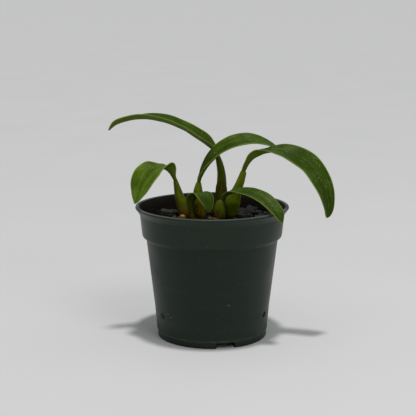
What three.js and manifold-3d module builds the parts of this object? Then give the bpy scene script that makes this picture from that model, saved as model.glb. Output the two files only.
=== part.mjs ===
// A young cattleya orchid with six single-leaved shoots in a round black nursery pot.
// Millimetres, +Z up. The origin is the centre of the pot's underside, +X is to the right and
// -Y is the front.
import * as THREE from "three";
import { mergeVertices } from "three/addons/utils/BufferGeometryUtils.js";
import Module from "manifold-3d";

const wasm = await Module();
wasm.setup();

// Driving dimensions.
const POT_HEIGHT = 87.5;
const RIM_RADIUS = 50.8;
const BASE_RADIUS = 36.4;
const FLOOR = 1.2;
const CHANNEL_HEIGHT = 3.2;
const NOTCH_WIDTH = 12.6;
const NOTCH_ANGLES = [14, 134, 254];
const DRAIN_HOLE_RADIUS = 3.4;
const DRAIN_HOLE_PITCH_RADIUS = 27;
const DIMPLE_ANGLES = [-58, 64, 184];
const DIMPLE_HEIGHT = 17.5;
const POT_SIDES = 48;
const GAP = 0.3;
const MIX_LEVEL = 76.5;
const MIX_CHIPS = 30;
const CHIP_SPREAD = 42;
const SEED = 41;
const GOLDEN_ANGLE = Math.PI * (3 - Math.sqrt(5));

// Colours.
const POT_BLACK = 0x2c3230;
const MIX_DARK = 0x17140f;
const CHIP_GREY = 0x55554a;
const RHIZOME_OLIVE = 0x6b6028;
const BULB_GREEN = 0x6f7f16;
const LEAF_GREEN = 0x4f8414;

// Half sections, as radius and height pairs.
// The pot's outside from the drain channel round the foot, up the wall, over the flared rim and
// back down the inside.
const POT_SECTION = [
  [0, 0],
  [19, 0],
  [21, CHANNEL_HEIGHT],
  [31.5, CHANNEL_HEIGHT],
  [33.2, 0],
  [BASE_RADIUS, 0],
  [BASE_RADIUS, 4.2],
  [37.0, 4.9],
  [37.8, 20],
  [43.1, 65.6],
  [43.6, 66.6],
  [45.2, 67.4],
  [45.7, 68.6],
  [47.1, 82.2],
  [49.6, 84.6],
  [RIM_RADIUS, 86.4],
  [RIM_RADIUS - 0.3, POT_HEIGHT],
  [48.2, POT_HEIGHT],
  [46.6, 84.9],
  [45.8, 82.4],
  [44.4, 68.4],
  [42.2, 66.2],
  [41.8, 65.2],
  [36.5, 20],
  [35.7, 5.2],
  [34.6, 4.6],
  [20.2, CHANNEL_HEIGHT + 1.2],
  [18.4, FLOOR],
  [0, FLOOR],
];
// The room inside the pot that the mix fills, clear of its wall and floor.
const FILL_SECTION = [
  [0, FLOOR + GAP],
  [17.6, FLOOR + GAP],
  [19.6, CHANNEL_HEIGHT + 1.5],
  [34.2, 5.2],
  [35.2, 5.8],
  [36.1, 20],
  [41.4, 65.3],
  [41.8, 66.6],
  [43.9, 68.8],
  [45.3, 82.4],
  [45.3, 92],
  [0, 92],
];

// Pseudobulbs, each a row of points along its axis: x, y, z and radius.
const BULBS = {
  pseudobulb_left: [
    [-16.8, -3.6, 77.5, 3.4],
    [-17.5, -3.8, 82.0, 4.8],
    [-18.1, -4.0, 85.6, 4.7],
    [-19.2, -4.0, 89.0, 4.0],
    [-21.0, -4.0, 93.4, 2.9],
    [-22.1, -4.0, 97.6, 2.3],
    [-23.1, -4.0, 101.9, 1.75],
    [-24.1, -4.0, 104.7, 1.35],
  ],
  pseudobulb_small: [
    [-12.3, -10.4, 77.0, 1.8],
    [-12.7, -10.2, 79.5, 2.3],
    [-13.0, -10.0, 82.2, 1.8],
    [-13.1, -9.8, 84.2, 1.35],
  ],
  pseudobulb_arching: [
    [-8.0, 2.0, 76.5, 2.6],
    [-8.2, 2.0, 80.5, 3.9],
    [-8.6, 2.0, 85.5, 3.8],
    [-9.2, 2.0, 91.5, 3.1],
    [-9.4, 2.0, 96.5, 2.8],
    [-9.2, 2.0, 100.0, 2.0],
    [-8.9, 2.0, 102.6, 1.45],
  ],
  pseudobulb_tall: [
    [6.2, 8.0, 76.0, 3.0],
    [6.2, 8.0, 80.0, 3.9],
    [6.1, 8.0, 88.0, 4.0],
    [6.1, 8.2, 95.0, 3.7],
    [6.4, 8.5, 102.0, 3.0],
    [6.1, 8.8, 108.0, 2.5],
    [5.1, 9.0, 113.4, 2.1],
    [3.9, 9.0, 117.8, 1.65],
    [2.6, 9.0, 121.6, 1.45],
  ],
  pseudobulb_large: [
    [12.6, -2.2, 77.5, 2.4],
    [12.8, -2.0, 81.0, 3.7],
    [13.0, -2.0, 86.5, 4.8],
    [13.7, -2.4, 90.5, 5.0],
    [15.1, -3.0, 94.8, 3.9],
    [17.0, -4.0, 100.0, 2.75],
    [18.7, -4.5, 104.6, 2.2],
    [20.7, -5.0, 111.2, 1.65],
  ],
  pseudobulb_front: [
    [4.7, -7.2, 77.5, 2.8],
    [4.8, -7.2, 81.5, 4.0],
    [4.9, -7.2, 86.0, 4.2],
    [5.4, -7.2, 89.4, 3.2],
    [6.6, -7.2, 92.2, 1.6],
  ],
};
const BULB_SIDES = 12;
const BULB_ROWS_PER_SPAN = 2;

// The creeping rhizome and its branches: x, y, z and radius.
const RHIZOME = [
  [
    [-23.5, -7.5, 79.5, 0.9],
    [-21.4, -7.4, 79.4, 2.2],
    [-17.0, -4.4, 77.6, 2.9],
    [-12.0, -2.0, 77.0, 2.7],
    [-6.0, 2.4, 76.6, 3.0],
    [0.0, 5.4, 76.4, 2.8],
    [6.0, 7.6, 76.4, 2.9],
    [10.6, 3.0, 76.8, 2.7],
    [12.8, -2.2, 77.4, 2.6],
    [14.4, -5.6, 77.8, 1.2],
  ],
  [
    [5.8, 6.4, 76.4, 2.2],
    [4.2, 0.0, 76.8, 2.5],
    [4.8, -7.0, 77.2, 2.5],
    [2.4, -11.4, 79.4, 1.9],
    [0.8, -12.8, 81.2, 0.7],
  ],
  [
    [-10.6, -1.6, 76.6, 1.7],
    [-11.2, -6.4, 76.6, 1.8],
    [-12.3, -10.6, 77.0, 1.9],
  ],
];
const RHIZOME_SIDES = 8;

// Leaves. heading is the plan direction in degrees from +X towards +Y in which a leaf arches.
// Each row is a station of the midrib: x, y, z, half width, fold of each half up from flat and
// roll, which drops the right-hand margin as seen from base to tip. Angles are in degrees.
const LEAVES = {
  leaf_left: {
    heading: 208,
    stations: [
      [-24.2, -4.0, 105.1, 1.3, 30, 0],
      [-25.5, -4.2, 107.7, 2.1, 42, 12],
      [-27.6, -4.8, 110.9, 5.1, 58, 28],
      [-29.9, -6.0, 113.0, 6.0, 42, 18],
      [-32.6, -7.5, 114.0, 5.6, 16, -2],
      [-35.8, -9.0, 113.7, 6.9, 8, -17],
      [-38.7, -10.5, 112.3, 8.3, 12, -26],
      [-42.5, -12.8, 108.2, 9.2, 18, -29],
      [-45.5, -14.6, 103.7, 8.7, 13, -26],
      [-47.2, -16.0, 99.2, 6.6, 8, -23],
      [-48.7, -17.5, 94.9, 3.8, 10, -18],
      [-50.1, -18.5, 91.9, 0.5, 8, -18],
    ],
  },
  leaf_small: {
    heading: -48,
    stations: [
      [-12.9, -9.5, 84.7, 1.4, 30, 0],
      [-13.1, -9.2, 88.9, 2.6, 30, 0],
      [-12.7, -9.2, 92.8, 4.0, 24, 0],
      [-10.8, -10.3, 96.3, 5.2, 12, 0],
      [-7.5, -12.4, 97.9, 6.2, 5, 0],
      [-4.7, -15.2, 96.2, 6.6, 5, 2],
      [-3.2, -17.2, 92.0, 5.2, 8, 0],
      [-2.3, -18.5, 88.3, 2.7, 10, 0],
      [-2.2, -19.2, 86.1, 0.5, 10, 0],
    ],
  },
  leaf_arching: {
    heading: 2,
    stations: [
      [-8.7, 2.0, 103.0, 1.4, 30, 0],
      [-7.8, 1.7, 106.4, 2.3, 30, 5],
      [-5.2, 1.0, 111.4, 4.2, 30, 13],
      [-0.2, 0.5, 118.0, 5.8, 28, 20],
      [5.5, 0.0, 123.2, 6.6, 31, 22],
      [13.0, 0.0, 127.2, 7.0, 33, 20],
      [20.8, 0.3, 129.6, 6.9, 29, 16],
      [27.4, 0.8, 130.2, 6.2, 25, 12],
      [34.0, 1.5, 129.2, 5.0, 20, 7],
      [39.3, 2.6, 127.3, 3.4, 14, 2],
      [44.9, 3.9, 124.3, 0.5, 10, 0],
    ],
  },
  leaf_tall: {
    heading: 192,
    stations: [
      [2.2, 9.0, 122.2, 1.5, 30, 0],
      [-0.2, 8.6, 124.9, 3.6, 38, -18],
      [-4.3, 8.0, 128.1, 5.8, 36, -20],
      [-11.3, 6.5, 133.1, 6.6, 32, -18],
      [-18.6, 4.5, 138.1, 6.5, 28, -13],
      [-29.5, 2.0, 142.8, 6.5, 28, -7],
      [-40.5, 0.0, 145.5, 6.1, 23, 3],
      [-49.5, -1.5, 145.7, 5.3, 20, 12],
      [-58.5, -3.2, 143.7, 4.2, 18, 20],
      [-63.9, -4.2, 141.5, 2.7, 18, 24],
      [-67.4, -5.0, 138.0, 0.5, 15, 24],
    ],
  },
  leaf_large: {
    heading: -10,
    stations: [
      [20.9, -5.0, 111.8, 1.6, 30, 0],
      [22.8, -5.0, 116.2, 2.3, 42, 0],
      [25.5, -5.3, 119.9, 3.8, 44, 0],
      [29.2, -6.0, 122.6, 4.6, 32, -6],
      [33.9, -7.0, 124.7, 5.6, 18, -2],
      [40.0, -8.0, 125.2, 6.8, 9, 12],
      [47.1, -9.0, 124.1, 7.5, 12, 28],
      [55.6, -10.2, 120.8, 8.2, 14, 40],
      [63.4, -11.4, 115.4, 8.4, 15, 44],
      [68.9, -12.6, 106.0, 8.4, 21, 43],
      [72.3, -13.6, 97.5, 7.4, 24, 40],
      [74.2, -14.4, 89.1, 5.3, 24, 37],
      [74.8, -14.8, 84.2, 3.2, 22, 36],
      [74.6, -15.0, 81.9, 0.5, 20, 36],
    ],
  },
  leaf_front: {
    heading: -38,
    stations: [
      [7.1, -7.2, 92.9, 1.5, 30, 0],
      [8.4, -8.4, 95.4, 2.0, 34, 0],
      [11.2, -11.0, 97.8, 3.1, 30, 4],
      [15.4, -14.5, 99.3, 4.4, 16, 9],
      [22.0, -19.0, 99.3, 5.2, 14, 15],
      [27.0, -22.5, 98.3, 5.6, 14, 15],
      [32.3, -26.2, 96.1, 5.9, 17, 16],
      [36.8, -30.0, 92.6, 5.9, 22, 16],
      [40.4, -33.0, 88.7, 5.2, 24, 13],
      [42.7, -35.0, 85.2, 3.4, 22, 8],
      [44.2, -36.0, 83.0, 0.5, 20, 8],
    ],
  },
};
const BLADE_COLUMNS = 6;
const ROWS_PER_SPAN = 2;
const MIDRIB_THICKNESS = 1.4;
const MARGIN_THICKNESS = 0.7;
const TIP_ROUNDING = 0.12;

// Bark chips that lie loose on the mix: centre, size, turn about Z and tilt about their own X.
const LOOSE_CHIPS = {
  bark_chip_left: { at: [-30.2, 12, 79.6], size: [10.5, 7, 4.6], turn: -8, tilt: 14 },
  bark_chip_right: { at: [21.6, 3.4, 79.6], size: [9, 7.5, 5.4], turn: 24, tilt: -16 },
  bark_chip_far_right: { at: [32.4, -5.6, 80.6], size: [10, 6.5, 4.4], turn: -18, tilt: 12 },
};

const SMALL = 1e-3;

// Turns a closed geometry into a manifold solid.
function solidOf(geometry) {
  const bare = geometry.clone();
  bare.deleteAttribute("normal");
  bare.deleteAttribute("uv");
  const merged = mergeVertices(bare, SMALL);
  return new wasm.Manifold(
    new wasm.Mesh({
      numProp: 3,
      vertProperties: merged.attributes.position.array,
      triVerts: new Uint32Array(merged.index.array),
    }),
  );
}

// Turns a manifold solid into a geometry, keeping only its largest body.
function geometryOf(solid) {
  const bodies = solid.decompose();
  bodies.sort((a, b) => b.volume() - a.volume());
  const mesh = bodies[0].getMesh();
  const geometry = new THREE.BufferGeometry();
  geometry.setAttribute("position", new THREE.BufferAttribute(mesh.vertProperties, 3));
  geometry.setIndex(new THREE.BufferAttribute(mesh.triVerts, 1));
  return geometry;
}

// A seeded random source that gives numbers from 0 to 1.
function randomSource(seed) {
  let state = seed;
  return () => {
    state = (state * 1103515245 + 12345) % 2147483648;
    return state / 2147483648;
  };
}

// A body turned about Z from a half section that starts and ends on the axis.
function turned(section, sides) {
  const points = section.map(([radius, height]) => new THREE.Vector2(radius, height));
  const geometry = new THREE.LatheGeometry(points, sides);
  geometry.rotateX(Math.PI / 2);
  return geometry;
}

// Catmull-Rom value of a list of rows at a place measured in spans.
function rowAt(rows, place) {
  const last = rows.length - 1;
  const span = Math.min(Math.floor(place), last - 1);
  const t = place - span;
  const before = rows[Math.max(span - 1, 0)];
  const start = rows[span];
  const end = rows[span + 1];
  const after = rows[Math.min(span + 2, last)];
  return start.map((value, k) => {
    const slopeStart = (end[k] - before[k]) / 2;
    const slopeEnd = (after[k] - value) / 2;
    const rise = end[k] - value;
    return (
      value +
      slopeStart * t +
      (3 * rise - 2 * slopeStart - slopeEnd) * t * t +
      (slopeStart + slopeEnd - 2 * rise) * t * t * t
    );
  });
}

// Direction of travel along a list of rows at a place measured in spans.
function directionAt(rows, place) {
  const step = 0.02;
  const last = rows.length - 1;
  const back = rowAt(rows, Math.max(place - step, 0));
  const ahead = rowAt(rows, Math.min(place + step, last));
  return new THREE.Vector3(ahead[0] - back[0], ahead[1] - back[1], ahead[2] - back[2]).normalize();
}

// A closed body from rings of equal count, with a flat cap at each end.
function lofted(rings, capTriangles) {
  const count = rings[0].length;
  const positions = rings.flat().flatMap((point) => [point.x, point.y, point.z]);
  const index = [];
  for (let i = 0; i < rings.length - 1; i += 1) {
    for (let j = 0; j < count; j += 1) {
      const next = (j + 1) % count;
      const a = i * count + j;
      const b = i * count + next;
      const c = (i + 1) * count + next;
      const d = (i + 1) * count + j;
      if (capTriangles.mirrored(j)) {
        index.push(a, d, b, b, d, c);
      } else {
        index.push(a, c, b, a, d, c);
      }
    }
  }
  const start = (rings.length - 1) * count;
  for (const [a, b, c] of capTriangles.list) {
    index.push(a, b, c);
    index.push(start + a, start + c, start + b);
  }
  const geometry = new THREE.BufferGeometry();
  geometry.setAttribute("position", new THREE.Float32BufferAttribute(positions, 3));
  geometry.setIndex(index);
  return geometry;
}

// A round stem or bulb through points with radii, grown by an allowance for cutting.
function roundBody(rows, sides, rowsPerSpan, allowance = 0) {
  const rings = [];
  const steps = (rows.length - 1) * rowsPerSpan;
  for (let i = 0; i <= steps; i += 1) {
    const place = i / rowsPerSpan;
    const [x, y, z, radius] = rowAt(rows, place);
    const along = directionAt(rows, place);
    const guide = Math.abs(along.z) > 0.8 ? new THREE.Vector3(0, 1, 0) : new THREE.Vector3(0, 0, 1);
    const side = new THREE.Vector3().crossVectors(guide, along).normalize();
    const up = new THREE.Vector3().crossVectors(along, side);
    const centre = new THREE.Vector3(x, y, z);
    if (i === 0) {
      centre.addScaledVector(along, -allowance);
    }
    if (i === steps) {
      centre.addScaledVector(along, allowance);
    }
    const ring = [];
    for (let j = 0; j < sides; j += 1) {
      const angle = (-2 * Math.PI * j) / sides;
      const point = centre.clone();
      point.addScaledVector(side, (radius + allowance) * Math.cos(angle));
      point.addScaledVector(up, (radius + allowance) * Math.sin(angle));
      ring.push(point);
    }
    rings.push(ring);
  }
  const fan = [];
  for (let j = 1; j < sides - 1; j += 1) {
    fan.push([0, j, j + 1]);
  }
  return lofted(rings, { list: fan, mirrored: () => false });
}

// A leaf blade: a folded sheet with its own margins, thicker at the midrib.
function blade({ heading, stations }) {
  const spans = stations.length - 1;
  const places = [];
  for (let i = 0; i < spans * ROWS_PER_SPAN; i += 1) {
    places.push(i / ROWS_PER_SPAN);
  }
  places.push(spans - TIP_ROUNDING, spans);
  const headingAngle = THREE.MathUtils.degToRad(heading - 90);
  const rightHand = new THREE.Vector3(Math.cos(headingAngle), Math.sin(headingAngle), 0);
  const rings = places.map((place) => {
    const [x, y, z, half, foldDegrees, rollDegrees] = rowAt(stations, place);
    const along = directionAt(stations, place);
    const level = rightHand.clone().addScaledVector(along, -rightHand.dot(along)).normalize();
    const upright = new THREE.Vector3().crossVectors(level, along);
    const roll = THREE.MathUtils.degToRad(rollDegrees);
    const fold = THREE.MathUtils.degToRad(foldDegrees);
    const side = level.clone().multiplyScalar(Math.cos(roll));
    side.addScaledVector(upright, -Math.sin(roll));
    const normal = upright.clone().multiplyScalar(Math.cos(roll));
    normal.addScaledVector(level, Math.sin(roll));
    const upper = [];
    const lower = [];
    for (let j = 0; j <= BLADE_COLUMNS; j += 1) {
      const across = 1 - (2 * j) / BLADE_COLUMNS;
      const reach = Math.abs(across);
      const lift = half * Math.sin(fold) * reach * (1.25 - 0.25 * reach);
      const point = new THREE.Vector3(x, y, z);
      point.addScaledVector(side, half * Math.cos(fold) * across);
      point.addScaledVector(normal, lift);
      upper.push(point);
      const slim = Math.min(1, half / 2.4);
      const thickness =
        MARGIN_THICKNESS + (MIDRIB_THICKNESS - MARGIN_THICKNESS) * slim * (1 - reach) ** 1.3;
      const lean = Math.sign(across) * fold * Math.min(1, reach * 3);
      const under = point.clone();
      under.addScaledVector(normal, -thickness * Math.cos(lean));
      under.addScaledVector(side, thickness * Math.sin(lean));
      lower.push(under);
    }
    return [...upper, ...lower.reverse()];
  });
  const width = BLADE_COLUMNS + 1;
  const strip = [];
  for (let j = 0; j < BLADE_COLUMNS; j += 1) {
    const under = 2 * width - 1 - j;
    strip.push([j, j + 1, under], [j + 1, under - 1, under]);
  }
  return lofted(rings, { list: strip, mirrored: (j) => j >= width });
}

// A rough bark chip: a box with its corners pushed about.
function chip({ at, size, turn, tilt }, random, allowance = 0) {
  const geometry = new THREE.BoxGeometry(
    size[0] + 2 * allowance,
    size[1] + 2 * allowance,
    size[2] + 2 * allowance,
  );
  geometry.deleteAttribute("normal");
  geometry.deleteAttribute("uv");
  const box = mergeVertices(geometry, SMALL);
  const corners = box.attributes.position;
  for (let i = 0; i < corners.count; i += 1) {
    corners.setX(i, corners.getX(i) * (0.72 + 0.28 * random()));
    corners.setY(i, corners.getY(i) * (0.72 + 0.28 * random()));
    corners.setZ(i, corners.getZ(i) * (0.78 + 0.22 * random()));
  }
  box.rotateX(THREE.MathUtils.degToRad(tilt));
  box.rotateZ(THREE.MathUtils.degToRad(turn));
  box.translate(at[0], at[1], at[2]);
  return box;
}

function colouredMesh(name, geometry, color, roughness) {
  const material = new THREE.MeshStandardMaterial({ color, roughness, metalness: 0 });
  const mesh = new THREE.Mesh(geometry, material);
  mesh.name = name;
  return mesh;
}

const plant = new THREE.Group();

// Pot: the turned shell less its drain notches, drain holes and stacking dimples.
let pot = solidOf(turned(POT_SECTION, POT_SIDES));
for (const angle of NOTCH_ANGLES) {
  const notch = new THREE.BoxGeometry(NOTCH_WIDTH, 12, CHANNEL_HEIGHT * 2);
  notch.translate(0, -BASE_RADIUS, 0);
  notch.rotateZ(THREE.MathUtils.degToRad(angle));
  pot = pot.subtract(solidOf(notch));
  const hole = new THREE.CylinderGeometry(DRAIN_HOLE_RADIUS, DRAIN_HOLE_RADIUS, 20, 16);
  hole.rotateX(Math.PI / 2);
  hole.translate(0, -DRAIN_HOLE_PITCH_RADIUS, 0);
  hole.rotateZ(THREE.MathUtils.degToRad(angle));
  pot = pot.subtract(solidOf(hole));
}
for (const angle of DIMPLE_ANGLES) {
  const dimple = new THREE.SphereGeometry(1, 12, 8);
  dimple.scale(2.3, 0.9, 1.6);
  dimple.translate(0, -37.9, DIMPLE_HEIGHT);
  dimple.rotateZ(THREE.MathUtils.degToRad(angle));
  pot = pot.subtract(solidOf(dimple));
}
plant.add(colouredMesh("pot", geometryOf(pot), POT_BLACK, 0.45));

// Everything that stands in the mix, and the same grown by the gap to cut its holes.
const rhizomeSolid = (allowance) =>
  RHIZOME.map((rows) => solidOf(roundBody(rows, RHIZOME_SIDES, 2, allowance))).reduce((a, b) =>
    a.add(b),
  );
const bulbSolids = Object.entries(BULBS).map(([name, rows]) => ({
  name,
  body: solidOf(roundBody(rows, BULB_SIDES, BULB_ROWS_PER_SPAN)),
  grown: solidOf(roundBody(rows, BULB_SIDES, BULB_ROWS_PER_SPAN, GAP)),
}));
const chipSolids = Object.entries(LOOSE_CHIPS).map(([name, shape], k) => ({
  name,
  body: solidOf(chip(shape, randomSource(SEED + k + 1))),
  grown: solidOf(chip(shape, randomSource(SEED + k + 1), GAP * 1.3)),
}));

// Potting mix: a bed with bark chips bedded in its surface, filling the pot.
const fill = solidOf(turned(FILL_SECTION, POT_SIDES));
const bed = new THREE.CylinderGeometry(60, 60, MIX_LEVEL, 8);
bed.rotateX(Math.PI / 2);
bed.translate(0, 0, MIX_LEVEL / 2);
let mix = solidOf(bed);
const random = randomSource(SEED);
for (let i = 0; i < MIX_CHIPS; i += 1) {
  const angle = i * GOLDEN_ANGLE + random() * 0.4;
  const radius = CHIP_SPREAD * Math.sqrt((i + 0.5) / MIX_CHIPS);
  const shape = {
    at: [radius * Math.cos(angle), radius * Math.sin(angle), MIX_LEVEL + random() * 1.2 - 0.6],
    size: [8 + random() * 6, 6 + random() * 4, 3 + random() * 2.6],
    turn: random() * 180,
    tilt: random() * 36 - 18,
  };
  mix = mix.add(solidOf(chip(shape, random)));
}
mix = mix.intersect(fill).subtract(rhizomeSolid(GAP));
for (const { grown } of [...bulbSolids, ...chipSolids]) {
  mix = mix.subtract(grown);
}
plant.add(colouredMesh("potting_mix", geometryOf(mix), MIX_DARK, 0.9));
for (const { name, body } of chipSolids) {
  plant.add(colouredMesh(name, geometryOf(body), CHIP_GREY, 0.85));
}

// Rhizome, with the pseudobulbs standing in hollows of its back.
let rhizome = rhizomeSolid(0);
for (const { grown } of bulbSolids) {
  rhizome = rhizome.subtract(grown);
}
plant.add(colouredMesh("rhizome", geometryOf(rhizome), RHIZOME_OLIVE, 0.6));
for (const { name, body } of bulbSolids) {
  plant.add(colouredMesh(name, geometryOf(body), BULB_GREEN, 0.45));
}

// Leaves, each on the tip of its pseudobulb.
for (const [name, leaf] of Object.entries(LEAVES)) {
  plant.add(colouredMesh(name, blade(leaf), LEAF_GREEN, 0.4));
}

export default plant;
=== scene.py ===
"""A young cattleya orchid in a round black nursery pot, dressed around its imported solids."""

import logging
import math
import random
from dataclasses import dataclass, field
from enum import Enum

import bpy
from mathutils import Matrix, Vector, noise


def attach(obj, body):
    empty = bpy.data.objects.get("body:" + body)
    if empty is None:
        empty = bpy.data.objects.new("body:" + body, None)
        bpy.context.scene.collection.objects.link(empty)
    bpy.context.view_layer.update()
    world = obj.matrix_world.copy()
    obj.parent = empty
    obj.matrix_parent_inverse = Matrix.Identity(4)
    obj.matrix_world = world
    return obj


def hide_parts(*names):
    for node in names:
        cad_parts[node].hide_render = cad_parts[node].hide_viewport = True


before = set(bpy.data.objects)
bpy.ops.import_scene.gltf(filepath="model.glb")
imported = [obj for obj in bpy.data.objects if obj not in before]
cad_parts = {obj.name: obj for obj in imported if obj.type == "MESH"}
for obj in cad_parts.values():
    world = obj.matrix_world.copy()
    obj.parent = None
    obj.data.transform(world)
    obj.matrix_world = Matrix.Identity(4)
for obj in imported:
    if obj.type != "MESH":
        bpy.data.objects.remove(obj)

log = logging.getLogger("orchid")

Row = tuple[float, ...]
XYZ = tuple[float, float, float]
Colour = tuple[float, float, float, float]
Piece = bpy.types.Object
Material = bpy.types.Material
Tree = bpy.types.NodeTree
Socket = bpy.types.NodeSocket

MM = 0.001
BODY = "root"

# Wax reflects the light a little yellow.
WAX_SHEEN = "#d8dc98"

# A share that rises softly at both its ends.
SOFT = {"interpolation_type": "SMOOTHSTEP"}


# Shared shop tools


def linear(hex_colour: str) -> Colour:
    """Turns an sRGB hex colour into linear light.

    Args:
        hex_colour: The colour as "#rrggbb".

    Returns:
        Red, green, blue and alpha from 0 to 1.
    """
    channels = [int(hex_colour[i : i + 2], 16) / 255 for i in (1, 3, 5)]
    red, green, blue = (
        c / 12.92 if c <= 0.04045 else ((c + 0.055) / 1.055) ** 2.4 for c in channels
    )
    return (red, green, blue, 1.0)


def select_only(*pieces: Piece) -> None:
    """Leaves just these pieces selected, the first one active.

    Args:
        pieces: The pieces to select.
    """
    if bpy.context.object and bpy.context.object.mode != "OBJECT":
        bpy.ops.object.mode_set(mode="OBJECT")
    bpy.ops.object.select_all(action="DESELECT")
    for piece in pieces:
        piece.select_set(True)
    bpy.context.view_layer.objects.active = pieces[0] if pieces else None


def added(name: str) -> Piece:
    """Names the primitive that was just added, and its mesh, and returns it.

    Args:
        name: The new name.

    Returns:
        The primitive.
    """
    piece = bpy.context.object
    piece.name = name
    piece.data.name = name
    return piece


def joined(name: str, pieces: list[Piece]) -> Piece:
    """Joins pieces into one with a new name.

    Args:
        name: The new name.
        pieces: The pieces to join.

    Returns:
        The one piece.
    """
    select_only(*pieces)
    bpy.ops.object.join()
    return added(name)


def apply_modifier(piece: Piece, kind: str, **settings: object) -> None:
    """Adds a modifier to a piece and applies it.

    Args:
        piece: The piece to change.
        kind: The modifier's type, such as "SOLIDIFY".
        settings: The modifier's properties by name.
    """
    select_only(piece)
    modifier = piece.modifiers.new(kind.lower(), kind)
    for name, value in settings.items():
        setattr(modifier, name, value)
    bpy.ops.object.modifier_apply(modifier=modifier.name)


def clean_shell(piece: Piece, reach: float = 1e-6) -> None:
    """Merges doubled points, drops loose edges and turns every face outwards.

    Args:
        piece: The piece to clean.
        reach: How near to each other two points are merged.
    """
    select_only(piece)
    bpy.ops.object.mode_set(mode="EDIT")
    bpy.ops.mesh.select_all(action="SELECT")
    bpy.ops.mesh.remove_doubles(threshold=reach)
    bpy.ops.mesh.dissolve_degenerate(threshold=reach)
    bpy.ops.mesh.delete_loose()
    bpy.ops.mesh.select_all(action="SELECT")
    bpy.ops.mesh.normals_make_consistent(inside=False)
    bpy.ops.object.mode_set(mode="OBJECT")


def smooth(piece: Piece, angle: float | None = None) -> None:
    """Shades a piece smooth, keeping edges sharper than the angle in degrees where one is given.

    Args:
        piece: The piece to shade.
        angle: The least angle of an edge that stays sharp, or none.
    """
    select_only(piece)
    if angle is None:
        bpy.ops.object.shade_smooth()
    else:
        bpy.ops.object.shade_smooth_by_angle(angle=math.radians(angle))


def settle(
    piece: Piece,
    material: Material,
    slot: str,
    *nodes: str,
) -> Piece:
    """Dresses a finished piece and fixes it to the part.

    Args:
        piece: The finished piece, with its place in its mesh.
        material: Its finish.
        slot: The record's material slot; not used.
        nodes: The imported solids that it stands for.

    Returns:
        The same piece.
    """
    piece.data.materials.clear()
    piece.data.materials.append(material)
    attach(piece, BODY)
    if nodes:
        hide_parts(*nodes)
    log.info("%s: %d faces", piece.name, len(piece.data.polygons))
    return piece


def note_points(piece: Piece, name: str, values: list[float]) -> None:
    """Notes a number, or three, for each point of a piece, for its material to read.

    Args:
        piece: The piece.
        name: The attribute's name.
        values: The numbers, one or three to a point, or a single one for all the points.
    """
    count = len(piece.data.vertices)
    if len(values) == 3 * count:
        attribute = piece.data.attributes.new(name, "FLOAT_VECTOR", "POINT")
        attribute.data.foreach_set("vector", values)
    else:
        attribute = piece.data.attributes.new(name, "FLOAT", "POINT")
        attribute.data.foreach_set("value", values * count if len(values) == 1 else values)


def row_at(rows: tuple[Row, ...], place: float) -> list[float]:
    """Reads a list of rows at a place between them along a smooth curve.

    Args:
        rows: Rows of equal length.
        place: The place, counted in spans from the first row.

    Returns:
        The row there.
    """
    last = len(rows) - 1
    span = max(0, min(int(place), last - 1))
    t = place - span
    before, start = rows[max(span - 1, 0)], rows[span]
    end, after = rows[span + 1], rows[min(span + 2, last)]
    values = []
    for a, b, c, d in zip(before, start, end, after):
        slope_in = (c - a) / 2
        slope_out = (d - b) / 2
        rise = c - b
        values.append(
            b
            + slope_in * t
            + (3 * rise - 2 * slope_in - slope_out) * t * t
            + (slope_in + slope_out - 2 * rise) * t**3
        )
    return values


def direction_at(rows: tuple[Row, ...], place: float) -> Vector:
    """Direction of travel along the rows' first three columns.

    Args:
        rows: Rows that start with x, y and z.
        place: The place, counted in spans from the first row.

    Returns:
        The direction, of length 1.
    """
    step = 0.02
    last = len(rows) - 1
    back = row_at(rows, max(place - step, 0))
    ahead = row_at(rows, min(place + step, last))
    return Vector([b - a for a, b in zip(back[:3], ahead[:3])]).normalized()


def rise_between(value: float, low: float, high: float) -> float:
    """Smooth step of a value from 0 at low to 1 at high."""
    t = min(1.0, max(0.0, (value - low) / (high - low)))
    return t * t * (3 - 2 * t)


def add_node(
    tree: Tree, kind: str, *inputs: object, out: int | str = 0, **settings: object
) -> Socket | None:
    """Adds a node with its settings, values and links.

    Args:
        tree: The material's nodes.
        kind: The node's type, without the "ShaderNode" that each starts with.
        inputs: For each input in order, an output to link it to, a value, or None to leave it.
        out: The output that is wanted.
        settings: Properties by name, and inputs by name with an underscore for each space.

    Returns:
        The wanted output, or none for a node without outputs.
    """
    node = tree.nodes.new(f"ShaderNode{kind}")
    fillings = [(node.inputs[i], value) for i, value in enumerate(inputs) if value is not None]
    for name, value in settings.items():
        if hasattr(node, name):
            setattr(node, name, value)
        else:
            fillings.append((node.inputs[name.replace("_", " ")], value))
    for socket, value in fillings:
        if isinstance(value, Socket):
            tree.links.new(value, socket)
        else:
            socket.default_value = value
    return node.outputs[out] if node.outputs else None


def per_metre(size_mm: float) -> float:
    """Scale of a noise whose patches are this many millimetres wide."""
    return 1 / (size_mm * MM)


def blank_material(name: str) -> tuple[Material, Tree]:
    """Starts a material with no nodes, and returns it with its node tree.

    Args:
        name: The material's name.

    Returns:
        The material and its nodes.
    """
    material = bpy.data.materials.new(name)
    material.use_nodes = True
    material.node_tree.nodes.clear()
    return material, material.node_tree


def layered(tree: Tree, ground: str, *layers: tuple[Socket, str]) -> Socket:
    """Lays colours over a ground colour.

    Args:
        tree: The material's nodes.
        ground: The ground colour.
        layers: How much of each colour shows, and the colour, the lowest layer first.

    Returns:
        The mixed colour.
    """
    colour = linear(ground)
    # A Mix node's two colours are its seventh and eighth inputs.
    between = [None] * 5
    for share, tone in layers:
        colour = add_node(tree, "Mix", share, *between, colour, linear(tone), out=2, data_type="RGBA")
    return colour


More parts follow.
